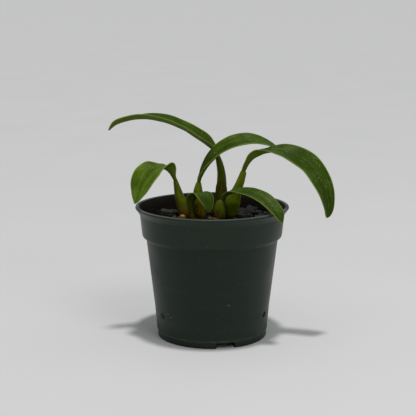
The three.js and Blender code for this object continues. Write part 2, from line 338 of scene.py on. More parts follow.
def finished(material: Material, **surface: object) -> Material:
    """Ends a material with its shader.

    Args:
        material: The material.
        surface: The shader's inputs; the IOR is that of wax, bark and paint unless given.

    Returns:
        The material.
    """
    shader = add_node(material.node_tree, "BsdfPrincipled", **{"IOR": 1.45} | surface)
    add_node(material.node_tree, "OutputMaterial", shader)
    return material


# Finishes


@dataclass(frozen=True)
class LeafCuticle:
    """Living leaf under thick wax: satin, softly glossy, finely veined, with a paler margin."""

    name: str
    green: str
    deep: str
    margin: str = "#82903a"
    # Painted shade along the midrib's groove.
    midrib_shade: str = "#263a04"
    underside: str = "#4f621a"
    petiole: str = "#465208"
    speck: str = "#7d8868"
    patch_mm: float = 12.5
    wax_mm: float = 4.17
    speck_mm: float = 0.91
    # The real veins are too fine to show, so they are drawn coarser.
    vein_gap_mm: float = 1.0

    def material(self) -> Material:
        """Builds the leaf finish from the blade's own measures.

        Returns:
            The material.
        """
        material, tree = blank_material(self.name)
        blade = add_node(tree, "Attribute", out="Vector", attribute_name="blade")
        under = add_node(tree, "Attribute", out="Fac", attribute_name="underside")
        place = add_node(tree, "TexCoord", out="Object")
        along = add_node(tree, "SeparateXYZ", blade, out="Y")
        reach = add_node(tree, "Math", add_node(tree, "SeparateXYZ", blade), operation="ABSOLUTE")
        # Cloudy patches, as where a leaf hardened unevenly.
        patches = add_node(tree, "TexNoise", place, Scale=per_metre(self.patch_mm), Detail=3.0)
        patch_mix = add_node(tree, "MapRange", patches, 0.36, 0.64, **SOFT)
        # Long veins that run with the midrib.
        lines = add_node(tree, "Mapping", blade, Scale=(7.0 / self.vein_gap_mm, 0.05, 0.0))
        veins = add_node(tree, "TexNoise", lines, Scale=1.0, Detail=4.0, Roughness=0.65)
        vein_mix = add_node(tree, "MapRange", veins, 0.5, 0.76, 0.0, 0.28)
        # Painted shade darkens the blade along the midrib's groove.
        midrib_shade_mix = add_node(tree, "MapRange", reach, 0.0, 0.16, 0.65, 0.0, **SOFT)
        under_mix = add_node(tree, "Math", under, 0.85, operation="MULTIPLY")
        # The base takes the stem's olive over its first centimetre or so.
        base_mix = add_node(tree, "MapRange", along, 3.0, 17.0, 0.9, 0.0, **SOFT)
        # The margin is a clear horny edge under 1 mm wide that catches the light.
        edge_mix = add_node(tree, "MapRange", reach, 0.86, 0.98, 0.0, 0.62, **SOFT)
        # Pale specks of dried water, gathered in patches.
        specks = add_node(tree, "TexNoise", place, Scale=per_metre(self.speck_mm), Detail=2.0)
        drift = add_node(tree, "Math", patches, 0.35, specks, operation="MULTIPLY_ADD")
        speck_mix = add_node(tree, "MapRange", drift, 0.79, 0.9, 0.0, 0.5)
        colour = layered(
            tree,
            self.deep,
            (patch_mix, self.green),
            (vein_mix, self.margin),
            (midrib_shade_mix, self.midrib_shade),
            (under_mix, self.underside),
            (base_mix, self.petiole),
            (edge_mix, self.margin),
            (speck_mix, self.speck),
        )
        # The wax is worn in places.
        wax = add_node(tree, "TexNoise", place, Scale=per_metre(self.wax_mm), Detail=3.0)
        gloss = add_node(tree, "MapRange", wax, 0.3, 0.7, 0.4, 0.56)
        relief = add_node(tree, "Bump", Height=veins, Strength=0.4, Distance=0.35 * MM)
        return finished(
            material,
            Base_Color=colour,
            Roughness=add_node(tree, "Math", under, 0.2, gloss, operation="MULTIPLY_ADD"),
            Specular_IOR_Level=0.2,
            Specular_Tint=linear(WAX_SHEEN),
            Subsurface_Weight=0.08,
            Subsurface_Radius=(0.6 * MM, 1.2 * MM, 0.2 * MM),
            Subsurface_Scale=1.0,
            Normal=add_node(
                tree, "Bump", Height=specks, Normal=relief, Strength=0.15, Distance=0.2 * MM
            ),
        )


@dataclass(frozen=True)
class PseudobulbSkin:
    """Smooth fleshy stem under thin wax: olive green, browner below, with dry scars."""

    name: str
    flesh: str
    shade: str
    low: str = "#584410"
    foot: str = "#301c08"
    scar: str = "#4a3212"
    low_mm: float = 9.0
    foot_mm: float = 4.0
    blotch_mm: float = 3.03
    pore_mm: float = 1.11

    def material(self) -> Material:
        """Builds the stem finish from the shoot's own measures.

        Returns:
            The material.
        """
        material, tree = blank_material(self.name)
        shoot = add_node(tree, "Attribute", out="Vector", attribute_name="shoot")
        scar = add_node(tree, "Attribute", out="Fac", attribute_name="scar")
        place = add_node(tree, "TexCoord", out="Object")
        height = add_node(tree, "SeparateXYZ", shoot, out="Z")
        # Long soft streaks, about 2 mm wide, that run up the stem.
        lines = add_node(tree, "Mapping", shoot, Scale=(1.8, 1.8, 0.09))
        streaks = add_node(tree, "TexNoise", lines, Scale=1.0, Detail=4.0)
        streak_mix = add_node(tree, "MapRange", streaks, 0.36, 0.66, **SOFT)
        # The stem browns downwards where old sheaths have dried, with ragged limits.
        blotches = add_node(tree, "TexNoise", place, Scale=per_metre(self.blotch_mm), Detail=4.0)
        lifted = add_node(tree, "Math", blotches, 10.0, -5.0, operation="MULTIPLY_ADD")
        ragged = add_node(tree, "Math", height, lifted, operation="ADD")
        browned = [
            (add_node(tree, "MapRange", ragged, reach * 0.45, reach * 1.35, 0.92, 0.0, **SOFT), tone)
            for tone, reach in ((self.low, self.low_mm), (self.foot, self.foot_mm))
        ]
        relief = add_node(tree, "Bump", Height=streaks, Strength=0.4, Distance=0.6 * MM)
        pores = add_node(tree, "TexNoise", place, Scale=per_metre(self.pore_mm), Detail=3.0)
        return finished(
            material,
            Base_Color=layered(
                tree, self.shade, (streak_mix, self.flesh), *browned, (scar, self.scar)
            ),
            Roughness=add_node(tree, "MapRange", blotches, 0.35, 0.65, 0.42, 0.6),
            Specular_IOR_Level=0.25,
            Specular_Tint=linear(WAX_SHEEN),
            Subsurface_Weight=0.1,
            Subsurface_Radius=(0.8 * MM, 1.2 * MM, 0.3 * MM),
            Subsurface_Scale=1.0,
            Normal=add_node(
                tree, "Bump", Height=pores, Normal=relief, Strength=0.25, Distance=0.2 * MM
            ),
        )


@dataclass(frozen=True)
class DrySheath:
    """Papery bract drying on the stem: thin, fibrous, striped, with the green showing through."""

    name: str
    paper: str
    stripe: str
    through: str
    dried: float = 0.5
    wear_mm: float = 2.0

    def material(self) -> Material:
        """Builds the sheath finish.

        Returns:
            The material.
        """
        material, tree = blank_material(self.name)
        shoot = add_node(tree, "Attribute", out="Vector", attribute_name="shoot")
        place = add_node(tree, "TexCoord", out="Object")
        # Fibres under 1 mm apart, drawn at 1 mm so that they show.
        lines = add_node(tree, "Mapping", shoot, Scale=(3.2, 3.2, 0.05))
        fibres = add_node(tree, "TexNoise", lines, Scale=1.0, Detail=4.0, Roughness=0.7)
        stripe_mix = add_node(tree, "MapRange", fibres, 0.42, 0.6, **SOFT)
        # Where it hasn't dried yet, over patches about 4 mm wide, the stem's green shows.
        broad = add_node(tree, "Mapping", shoot, Scale=(1.3, 1.3, 0.07))
        patches = add_node(tree, "TexNoise", broad)
        green_mix = add_node(tree, "MapRange", patches, self.dried - 0.08, self.dried + 0.08, **SOFT)
        wear = add_node(tree, "TexNoise", place, Scale=per_metre(self.wear_mm), Detail=3.0)
        return finished(
            material,
            Base_Color=layered(
                tree, self.stripe, (stripe_mix, self.paper), (green_mix, self.through)
            ),
            Roughness=add_node(tree, "MapRange", wear, 0.3, 0.7, 0.5, 0.8),
            Specular_IOR_Level=0.15,
            Specular_Tint=linear(WAX_SHEEN),
            Normal=add_node(tree, "Bump", Height=fibres, Strength=0.5, Distance=0.4 * MM),
        )


@dataclass(frozen=True)
class BudScale:
    """Dormant eye: overlapping smooth scales, red brown below, and pale at the tip from its own colour
    and a painted highlight.
    """

    name: str
    scale: str
    seam: str
    # Pale tip: partly the bud's own colour, partly a painted highlight.
    tip: str
    mottle_mm: float = 1.11

    def material(self) -> Material:
        """Builds the bud finish.

        Returns:
            The material.
        """
        material, tree = blank_material(self.name)
        share = add_node(tree, "Attribute", out="Fac", attribute_name="share")
        place = add_node(tree, "TexCoord", out="Object")
        mottle = add_node(tree, "TexNoise", place, Scale=per_metre(self.mottle_mm), Detail=3.0)
        scale_mix = add_node(tree, "MapRange", mottle, 0.35, 0.6, **SOFT)
        # The pale top is partly the bud's own colour and partly a painted highlight from above.
        pale_tip_highlight_mix = add_node(tree, "MapRange", share, 0.6, 0.9, **SOFT)
        return finished(
            material,
            Base_Color=layered(tree, self.seam, (scale_mix, self.scale), (pale_tip_highlight_mix, self.tip)),
            Roughness=0.5,
            Normal=add_node(tree, "Bump", Height=mottle, Strength=0.3, Distance=0.3 * MM),
        )


@dataclass(frozen=True)
class BarkFinish:
    """Broken conifer bark: layered and rough, near black when wet, grey on top, partly from weathering
    and partly a painted highlight.
    """

    name: str
    dark: str
    light: str
    # Grey of the upper sides, partly weathering and partly a painted highlight.
    top: str
    roughness: float
    flake_mm: float = 2.5

    def material(self) -> Material:
        """Builds the bark finish from each chip's own tone.

        Returns:
            The material.
        """
        material, tree = blank_material(self.name)
        place = add_node(tree, "TexCoord", out="Object")
        facing = add_node(tree, "NewGeometry", out="Normal")
        upward = add_node(tree, "SeparateXYZ", facing, out="Z")
        tone = add_node(tree, "Attribute", out="Fac", attribute_name="tone")
        layers = add_node(tree, "Mapping", place, Scale=(1.0, 1.0, 2.6))
        flakes = add_node(
            tree, "TexNoise", layers, Scale=per_metre(self.flake_mm), Detail=6.0, Roughness=0.65
        )
        blend = add_node(tree, "Math", flakes, tone, operation="MULTIPLY")
        light_mix = add_node(tree, "MapRange", blend, 0.08, 0.42, **SOFT)
        # The upper sides are paler grey: partly each chip's own weathering, and partly a painted
        # highlight from the light above.
        dried = add_node(tree, "Math", flakes, upward, operation="MULTIPLY")
        weathered_and_lit = add_node(tree, "Math", tone, 0.3, dried, operation="MULTIPLY_ADD")
        grey_top_and_highlight_mix = add_node(tree, "MapRange", weathered_and_lit, 0.4, 0.72, **SOFT)
        smoothest, roughest = self.roughness - 0.15, self.roughness + 0.15
        return finished(
            material,
            Base_Color=layered(tree, self.dark, (light_mix, self.light), (grey_top_and_highlight_mix, self.top)),
            Roughness=add_node(tree, "MapRange", flakes, 0.3, 0.7, smoothest, roughest),
            Specular_IOR_Level=0.3,
            Normal=add_node(tree, "Bump", Height=flakes, Strength=0.9, Distance=1.0 * MM),
        )


@dataclass(frozen=True)
class MouldedPolypropylene:
    """Moulded black-green polypropylene: a soft sheen, drag lines, scuffs and potting dust."""

    name: str = "moulded black green polypropylene"
    black: str = "#1f2922"
    worn: str = "#2b3831"
    band: str = "#262f27"
    # The inside's painted shade, nearly black.
    inner_shade: str = "#140f08"
    # A painted highlight along the top of the lip.
    lip: str = "#5c655f"
    dust: str = "#57574a"
    sheen: str = "#d4dcd4"
    step_height: float = 4.6 * MM
    band_foot: float = 67.6 * MM
    lip_height: float = 87.1 * MM
    scuff_at: XYZ = (-32.0 * MM, -20.0 * MM, 17.5 * MM)
    cloud_mm: float = 18.2
    dust_mm: float = 1.43
    grain_mm: float = 0.556

    def material(self) -> Material:
        """Builds the pot finish.

        Returns:
            The material.
        """
        material, tree = blank_material(self.name)
        place = add_node(tree, "TexCoord", out="Object")
        height = add_node(tree, "SeparateXYZ", place, out="Z")
        # Faint lines round the pot, where it scraped along others in the stack.
        drawn = add_node(tree, "Mapping", place, Scale=(16.0, 16.0, 420.0))
        drag = add_node(tree, "TexNoise", drawn, Scale=1.0, Detail=4.0)
        clouds = add_node(tree, "TexNoise", place, Scale=per_metre(self.cloud_mm), Detail=3.0)
        scraped = add_node(tree, "Math", drag, clouds, operation="MULTIPLY")
        worn_mix = add_node(tree, "MapRange", scraped, 0.26, 0.46, 0.0, 0.3)
        # The band is a little paler and greener than the wall.
        full = self.band_foot + 1.2 * MM
        band_mix = add_node(tree, "MapRange", height, self.band_foot, full, 0.0, 0.8)
        # Painted shade darkens the inside of the pot nearly to black.
        inner_shade_mix = self._inner_shade_share(tree, place)
        # A painted highlight makes the top of the lip paler.
        full = self.lip_height + 0.4 * MM
        lip_highlight_mix = add_node(tree, "MapRange", height, self.lip_height, full, 0.0, 0.55)
        speck_mix, dust_mix = self._dust_shares(tree, place, height)
        colour = layered(
            tree,
            self.black,
            (worn_mix, self.worn),
            (band_mix, self.band),
            (inner_shade_mix, self.inner_shade),
            (lip_highlight_mix, self.lip),
            (dust_mix, self.dust),
        )
        gloss = add_node(tree, "MapRange", clouds, 0.3, 0.7, 0.34, 0.46)
        dulled = add_node(tree, "Math", inner_shade_mix, 0.4, gloss, operation="MULTIPLY_ADD")
        relief = add_node(tree, "Bump", Height=drag, Strength=0.1, Distance=0.2 * MM)
        grain = add_node(tree, "TexNoise", place, Scale=per_metre(self.grain_mm), Detail=2.0)
        return finished(
            material,
            Base_Color=colour,
            Roughness=add_node(tree, "Math", speck_mix, 0.5, dulled, operation="MULTIPLY_ADD"),
            IOR=1.49,
            Specular_IOR_Level=0.22,
            Specular_Tint=linear(self.sheen),
            Normal=add_node(
                tree, "Bump", Height=grain, Normal=relief, Strength=0.1, Distance=0.2 * MM
            ),
        )

    @staticmethod
    def _inner_shade_share(tree: Tree, place: Socket) -> Socket:
        """Share of the painted shade that darkens the inside of the pot nearly to black.

        Args:
            tree: The material's nodes.
            place: The object coordinates.

        Returns:
            The share.
        """
        across = add_node(tree, "VectorMath", place, (1.0, 1.0, 0.0), operation="MULTIPLY")
        outward = add_node(tree, "NewGeometry", out="Normal")
        outside = add_node(
            tree, "VectorMath", across, outward, out="Value", operation="DOT_PRODUCT"
        )
        return add_node(tree, "MapRange", outside, -12 * MM, 0.0, 1.0, 0.0)

    def _dust_shares(self, tree: Tree, place: Socket, height: Socket) -> tuple[Socket, Socket]:
        """Shares of the dust's specks, and of all dust with the line of it on the foot's step.

        Args:
            tree: The material's nodes.
            place: The object coordinates.
            height: The height over the table.

        Returns:
            Both shares.
        """
        specks = add_node(tree, "TexNoise", place, Scale=per_metre(self.dust_mm), Detail=2.0)
        above_step = add_node(tree, "Math", height, self.step_height, operation="SUBTRACT")
        off_step = add_node(tree, "Math", above_step, operation="ABSOLUTE")
        step_mix = add_node(tree, "MapRange", off_step, 0.3 * MM, 1.1 * MM, 0.2, 0.0)
        off_scuff = add_node(
            tree, "VectorMath", place, self.scuff_at, out="Value", operation="DISTANCE"
        )
        scuff_mix = add_node(tree, "MapRange", off_scuff, 2.0 * MM, 9.0 * MM, 0.17, 0.0)
        gathered = add_node(tree, "Math", step_mix, scuff_mix, operation="MAXIMUM")
        speckled = add_node(tree, "Math", specks, gathered, operation="ADD")
        speck_mix = add_node(tree, "MapRange", speckled, 0.68, 0.78, 0.0, 0.6, **SOFT)
        step_line = add_node(tree, "Math", step_mix, 1.3, operation="MULTIPLY")
        return speck_mix, add_node(tree, "Math", speck_mix, step_line, operation="MAXIMUM")


@dataclass(frozen=True)
class PaleTableTop:
    """Matt painted board: plain, pale and slightly uneven in tone."""

    name: str = "matt pale board"
    tone: str = "#d8d8d6"
    low: str = "#d2d2d1"
    cloud_mm: float = 143

    def material(self) -> Material:
        """Builds the floor finish, with clouds of tone that are barely seen.

        Returns:
            The material.
        """
        material, tree = blank_material(self.name)
        place = add_node(tree, "TexCoord", out="Object")
        clouds = add_node(tree, "TexNoise", place, Scale=per_metre(self.cloud_mm), Detail=2.0)
        return finished(material, Base_Color=layered(tree, self.low, (clouds, self.tone)), Roughness=0.8)


class LeafTone(Enum):
    """How green each leaf is."""

    BRIGHT = LeafCuticle("cattleya leaf, bright young green", "#50690c", "#3c5606", "#869636")
    DEEP = LeafCuticle("cattleya leaf, deep green", "#314a05", "#253b03")
    MIDDLE = LeafCuticle("cattleya leaf, middle green", "#385205", "#294003")


class StemTone(Enum):
    """How ripe each pseudobulb is."""

    YOUNG = PseudobulbSkin("pseudobulb skin, young yellow green", "#66760a", "#526204", low_mm=5.0)
    RIPE = PseudobulbSkin("pseudobulb skin, ripe olive", "#4e5a08", "#3a4604", low_mm=6.0)
    OLD = PseudobulbSkin("pseudobulb skin, old olive", "#5a6409", "#454e06", low_mm=13.0, foot_mm=5.0)


# Pot


# Radius and height in mm at the foot and at the top of the pot's wall, and of its band.
WALL: tuple[Row, Row] = ((38.2, 20), (43.6, 65.6))
BAND: tuple[Row, Row] = ((46.3, 68.6), (47.8, 82.2))


@dataclass
class NurseryPot:
    """Round moulded pot: flared lip, deep band, step, tapering wall and a foot with drain notches.

    Its half section holds radius and height in mm, from the middle of the underside out, up and
    back down inside.
    """

    section: tuple[Row, ...] = (
        *((0, 0), (19, 0), (21, 3.2), (31.5, 3.2), (33.2, 0), (36.4, 0)),
        *((36.4, 4.2), (37, 4.9)),
        *WALL,
        *((44.1, 66.6), (45.8, 67.4)),
        *BAND,
        *((49.4, 84.8), (50.8, 86.5), (50.5, 87.5), (48.2, 87.5), (46.9, 84.9)),
        *((46.3, 82.4), (44.8, 68.4), (42.6, 66.2), (42.2, 65.2), (36.8, 20), (35.7, 5.2)),
        *((34.6, 4.6), (20.2, 4.4), (18.4, 1.2), (0, 1.2)),
    )
    edge_radius: float = 0.45
    crease: float = 35
    steps: int = 168
    notch_angles: tuple[float, ...] = (14, 134, 254)
    notch_size: XYZ = (12.6, 12, 7.4)
    notch_corner: float = 0.7
    foot_radius: float = 36.4
    hole_radius: float = 3.4
    hole_depth: float = 20
    hole_pitch: float = 27
    dimple_angles: tuple[float, ...] = (-58, 64, 184)
    dimple_size: XYZ = (2.8, 1.1, 2)
    dimple_pitch: float = 37.9
    dimple_height: float = 17.5
    finish: MouldedPolypropylene = field(default_factory=MouldedPolypropylene)

    def build(self) -> None:
        """Turns the shell, cuts its openings and dresses it."""
        pot = turned_shell("nursery_pot", self.section, self.steps, self.edge_radius)
        cutters = [self._turned(self._notch(), self.foot_radius, 0, a) for a in self.notch_angles]
        cutters += [self._turned(self._hole(), self.hole_pitch, 0, a) for a in self.notch_angles]
        for angle in self.dimple_angles:
            cutters.append(self._turned(self._dimple(), self.dimple_pitch, self.dimple_height, angle))
        for cutter in cutters:
            apply_modifier(pot, "BOOLEAN", operation="DIFFERENCE", object=cutter, solver="EXACT")
            bpy.data.objects.remove(cutter)
        clean_shell(pot)
        smooth(pot, self.crease)
        settle(pot, self.finish.material(), "pot_plastic", "pot")

    @staticmethod
    def _turned(cutter: Piece, radius: float, height: float, angle: float) -> Piece:
        """Moves a cutter out to a radius and height, at an angle from the pot's front.

        Args:
            cutter: The cutter, about the origin.
            radius: Its distance from the pot's axis in mm.
            height: Its height over the table in mm.
            angle: The angle in degrees.

        Returns:
            The same piece.
        """
        turn = Matrix.Rotation(math.radians(angle), 4, "Z")
        cutter.data.transform(turn @ Matrix.Translation((0, -radius * MM, height * MM)))
        return cutter

    def _notch(self) -> Piece:
        """Makes the cutter for a drain notch through the foot.

        Returns:
            The cutter, about the origin.
        """
        select_only()
        bpy.ops.mesh.primitive_cube_add(size=1)
        notch = added("notch_cutter")
        notch.data.transform(Matrix.Diagonal((*[side * MM for side in self.notch_size], 1)))
        apply_modifier(notch, "BEVEL", width=self.notch_corner * MM, segments=3)
        return notch

    def _hole(self) -> Piece:
        """Makes the cutter for a drain hole in the floor.

        Returns:
            The cutter, about the origin.
        """
        select_only()
        bpy.ops.mesh.primitive_cylinder_add(
            vertices=32, radius=self.hole_radius * MM, depth=self.hole_depth * MM
        )
        return added("hole_cutter")

    def _dimple(self) -> Piece:
        """Makes the cutter for a stacking dimple low on the wall.

        Returns:
            The cutter, about the origin.
        """
        select_only()
        bpy.ops.mesh.primitive_uv_sphere_add(segments=24, ring_count=12, radius=MM)
        dimple = added("dimple_cutter")
        dimple.data.transform(Matrix.Diagonal((*self.dimple_size, 1)))
        return dimple


def rounded_section(section: tuple[Row, ...], radius: float) -> list[tuple[float, float]]:
    """Rounds the corners of a half section.

    Args:
        section: Radius and height of each corner, the first and last on the axis.
        radius: How far along each edge a corner is taken back.

    Returns:
        The rounded section.
    """
    # A short edge keeps a fifth of its length straight between its two corners.
    most = 0.4
    points = [Vector(corner) for corner in section]
    rounded = [tuple(points[0])]
    for before, corner, after in zip(points, points[1:], points[2:]):
        back = before - corner
        ahead = after - corner
        start = corner + back.normalized() * min(radius, back.length * most)
        end = corner + ahead.normalized() * min(radius, ahead.length * most)
        for t in (0, 1 / 3, 2 / 3, 1):
            rounded.append(tuple(start * (1 - t) ** 2 + corner * 2 * t * (1 - t) + end * t * t))
    rounded.append(tuple(points[-1]))
    return rounded


def turned_shell(
    name: str, section: tuple[Row, ...], steps: int, edge_radius: float
) -> Piece:
    """Turns a closed body about Z from a half section.

    Args:
        name: The new piece's name.
        section: Radius and height of each corner in mm, the first and last on the axis.
        steps: Faces round the body.
        edge_radius: How far each corner is rounded, in mm.

    Returns:
        The body.
    """
    points = rounded_section(section, edge_radius)
    select_only()
    bpy.ops.mesh.primitive_circle_add(vertices=len(points), radius=MM, fill_type="NOTHING")
    shell = added(name)
    for vertex, (radius, height) in zip(shell.data.vertices, points):
        vertex.co = (radius * MM, 0, height * MM)
    bpy.ops.object.mode_set(mode="EDIT")
    bpy.ops.mesh.select_all(action="SELECT")
    bpy.ops.mesh.spin(steps=steps, angle=math.tau, center=(0, 0, 0), axis=(0, 0, 1))
    bpy.ops.object.mode_set(mode="OBJECT")
    clean_shell(shell)
    return shell


@dataclass
class WallCrumbs:
    """Bark crumbs and grit that stuck to the pot's wall when it was filled and watered.

    The first rows are the crumbs that show in the photo: x, height and length in mm.
    """

    seen: tuple[Row, ...] = (
        (10.4, 29.6, 2.6), (4.1, 72, 1.2), (-5.2, 17.5, 0.9), (-2.6, 16.6, 0.9), (-6, 7, 0.8),
        (-28.4, 20.6, 1.5), (-26.6, 18.4, 1.6), (-30.6, 19.4, 0.8), (-25.6, 15.4, 0.7),
    )
    scattered: int = 18
    heights: Row = (7, 64)
    lengths: Row = (0.5, 1.1)
    width: float = 0.3
    thickness: float = 0.4
    lean: float = 0.6
    seed: int = 7
    finish: BarkFinish = BarkFinish("dry bark crumbs", "#463824", "#7d694a", "#857658", 0.85, 1.0)

    def build(self) -> None:
        """Breaks the crumbs, sticks them to the wall and dresses them."""
        rng = random.Random(self.seed)
        crumbs = [self._crumb(0, x, height, length, rng) for x, height, length in self.seen]
        for _ in range(self.scattered):
            turn = rng.uniform(0, 360)
            height, length = rng.uniform(*self.heights), rng.uniform(*self.lengths)
            crumbs.append(self._crumb(turn, 0, height, length, rng))
        settle(joined("wall_crumbs", crumbs), self.finish.material(), "bark_mix")

    def _crumb(
        self, turn: float, x: float, height: float, length: float, rng: random.Random
    ) -> Piece:
        """Sticks one crumb to the wall, across from the front by x and then turned about Z.

        Args:
            turn: The turn about Z in degrees.
            x: How far across from the front, in mm.
            height: Its height on the wall in mm.
            length: Its length in mm.
            rng: The seeded source that shapes and leans it.

        Returns:
            The crumb.
        """
        radius = wall_radius(height)
        size = (length, length * self.width, length * self.thickness)
        crumb = rough_chip("wall_crumb", size, 0, 3, rng)
        lean = Matrix.Rotation(rng.uniform(-self.lean, self.lean), 4, "Y")
        out = Matrix.Translation((x, -math.sqrt(radius * radius - x * x), height))
        spin = Matrix.Rotation(math.radians(turn), 4, "Z")
        crumb.data.transform(Matrix.Scale(MM, 4) @ spin @ out @ lean)
        note_points(crumb, "tone", [rng.random()])
        return crumb


def wall_radius(height: float) -> float:
    """Outer radius of the pot's wall or band at a height, all in mm."""
    (low_radius, low), (high_radius, high) = WALL if height < BAND[0][1] else BAND
    return low_radius + (high_radius - low_radius) * (height - low) / (high - low)


# Potting mix


@dataclass
class PottingMix:
    """Dark wet bark that fills the pot, with chips and crumbs bedded in its surface.

    The bed's half section holds radius and height in mm. The feet are the first rows of the stems,
    which the chips keep clear of.
    """

    section: tuple[Row, ...] = (
        *((0, 1.5), (17.6, 1.5), (19.6, 4.7), (34.2, 5.2), (35.2, 5.8)),
        *((36.4, 20), (41.8, 65.3), (42.2, 66.6), (44.3, 68.8), (45.1, 75.4)),
        *((43.6, 75.9), (36, 75.6), (27, 75.9), (18, 75.5), (9, 75.8), (0, 75.6)),
    )
    uneven_above: float = 74
    unevenness: float = 0.9
    level: float = 76.4
    spread: float = 43
    shapes: int = 10
    widths: Row = (0.45, 0.8)
    thicknesses: Row = (0.22, 0.5)
    chips: int = 260
    chip_lengths: Row = (5, 12)
    chip_lifts: Row = (-0.6, 2.4)
    chip_lean: float = 30
    crumbs: int = 420
    crumb_lengths: Row = (1.8, 4.2)
    crumb_lifts: Row = (0.2, 2.6)
    crumb_lean: float = 60
    crease: float = 28
    seed: int = 41
    feet: tuple[Row, ...] = ()
    finish: BarkFinish = BarkFinish("wet conifer bark", "#040302", "#21170d", "#2b2923", 0.6)
    rng: random.Random = field(init=False)

    def __post_init__(self) -> None:
        """Starts the seeded source that places every chip."""
        self.rng = random.Random(self.seed)

    def build(self) -> None:
        """Lays the bed, beds the chips in it and dresses both."""
        bed = turned_shell("mix_bed", self.section, 96, 0.3)
        for vertex in bed.data.vertices:
            if vertex.co.z > self.uneven_above * MM:
                vertex.co.z += self.unevenness * MM * noise.noise(vertex.co * per_metre(6.25))
        note_points(bed, "tone", [0.1])
        smooth(bed)
        settle(bed, self.finish.material(), "bark_mix", "potting_mix")
        chip_shapes = self._shapes("chip_shape", 1, self.rng)
        crumb_shapes = self._shapes("crumb_shape", 0, random.Random(self.seed + 1))
        pieces = [self._chip(chip_shapes) for _ in range(self.chips)]
        pieces += [self._crumb(crumb_shapes) for _ in range(self.crumbs)]
        for shape in chip_shapes + crumb_shapes:
            bpy.data.objects.remove(shape)
        chips = joined("bark_pieces", [piece for piece in pieces if piece])
        smooth(chips, self.crease)
        settle(chips, self.finish.material(), "bark_mix", "potting_mix")

    def _shapes(self, name: str, cuts: int, rng: random.Random) -> list[Piece]:
        """Breaks the shapes that are copied, each 1 long, with faces cut as finely as cuts says.

        Args:
            name: What the shapes are called.
            cuts: How finely their faces are cut.
            rng: The seeded source that breaks them.

        Returns:
            The shapes.
        """
        shapes = []
        for k in range(self.shapes):
            size = (1, rng.uniform(*self.widths), rng.uniform(*self.thicknesses))
            shapes.append(rough_chip(f"{name}_{k}", size, cuts, 4, rng))
        return shapes

    def _clear_of_feet(self, x: float, y: float, room: float) -> bool:
        """Says whether a place is further than room from every stem's foot."""
        return all(math.hypot(x - foot[0], y - foot[1]) > foot[3] + room for foot in self.feet)

    def _copy(self, variants: list[Piece], length: float, at: XYZ, lean: float) -> Piece:
        """Copies one of the shapes to a place, at its length and a random turn.

        Args:
            variants: The shapes, each 1 long.
            length: The copy's length in mm.
            at: Its place in mm.
            lean: How far it may lean, in degrees.

        Returns:
            The copy.
        """
        rng = self.rng
        source = rng.choice(variants)
        piece = bpy.data.objects.new("chip", source.data.copy())
        bpy.context.scene.collection.objects.link(piece)
        turn = Matrix.Rotation(rng.uniform(0, math.tau), 4, "Z")
        tilt = Matrix.Rotation(math.radians(rng.uniform(-lean, lean)), 4, "X")
        tip = Matrix.Rotation(math.radians(rng.uniform(-lean, lean)), 4, "Y")
        sides = (length, length * rng.uniform(0.75, 1.2), length * rng.uniform(0.7, 1.25), 1)
        piece.data.transform(
            Matrix.Scale(MM, 4) @ Matrix.Translation(at) @ turn @ tilt @ tip @ Matrix.Diagonal(sides)
        )
        note_points(piece, "tone", [rng.random() ** 1.6])
        return piece

    def _chip(self, variants: list[Piece]) -> Piece | None:
        """Places a bedded chip, or none where a stem stands.

        Args:
            variants: The shapes to choose from.

        Returns:
            The chip, or none.
        """
        rng = self.rng
        radius = self.spread * math.sqrt(rng.random()) - 2
        angle = rng.uniform(0, math.tau)
        x, y = radius * math.cos(angle), radius * math.sin(angle)
        length = rng.uniform(*self.chip_lengths)
        z = self.level + rng.uniform(*self.chip_lifts)
        if radius < 0 or not self._clear_of_feet(x, y, length * 0.42):
            return None
        reach = min(1.0, (self.spread + 1.4 - radius) / (length * 0.55))
        if reach < 0.35:
            return None
        return self._copy(variants, length * reach, (x, y, z), self.chip_lean)

    def _crumb(self, variants: list[Piece]) -> Piece | None:
        """Places a crumb of bark, or none where a stem stands.

        Args:
            variants: The shapes to choose from.

        Returns:
            The crumb, or none.
        """
        rng = self.rng
        radius = self.spread * math.sqrt(rng.random())
        angle = rng.uniform(0, math.tau)
        x, y = radius * math.cos(angle), radius * math.sin(angle)
        length = rng.uniform(*self.crumb_lengths)
        if not self._clear_of_feet(x, y, length * 0.4):
            return None
        z = self.level + rng.uniform(*self.crumb_lifts)
        return self._copy(variants, length, (x, y, z), self.crumb_lean)


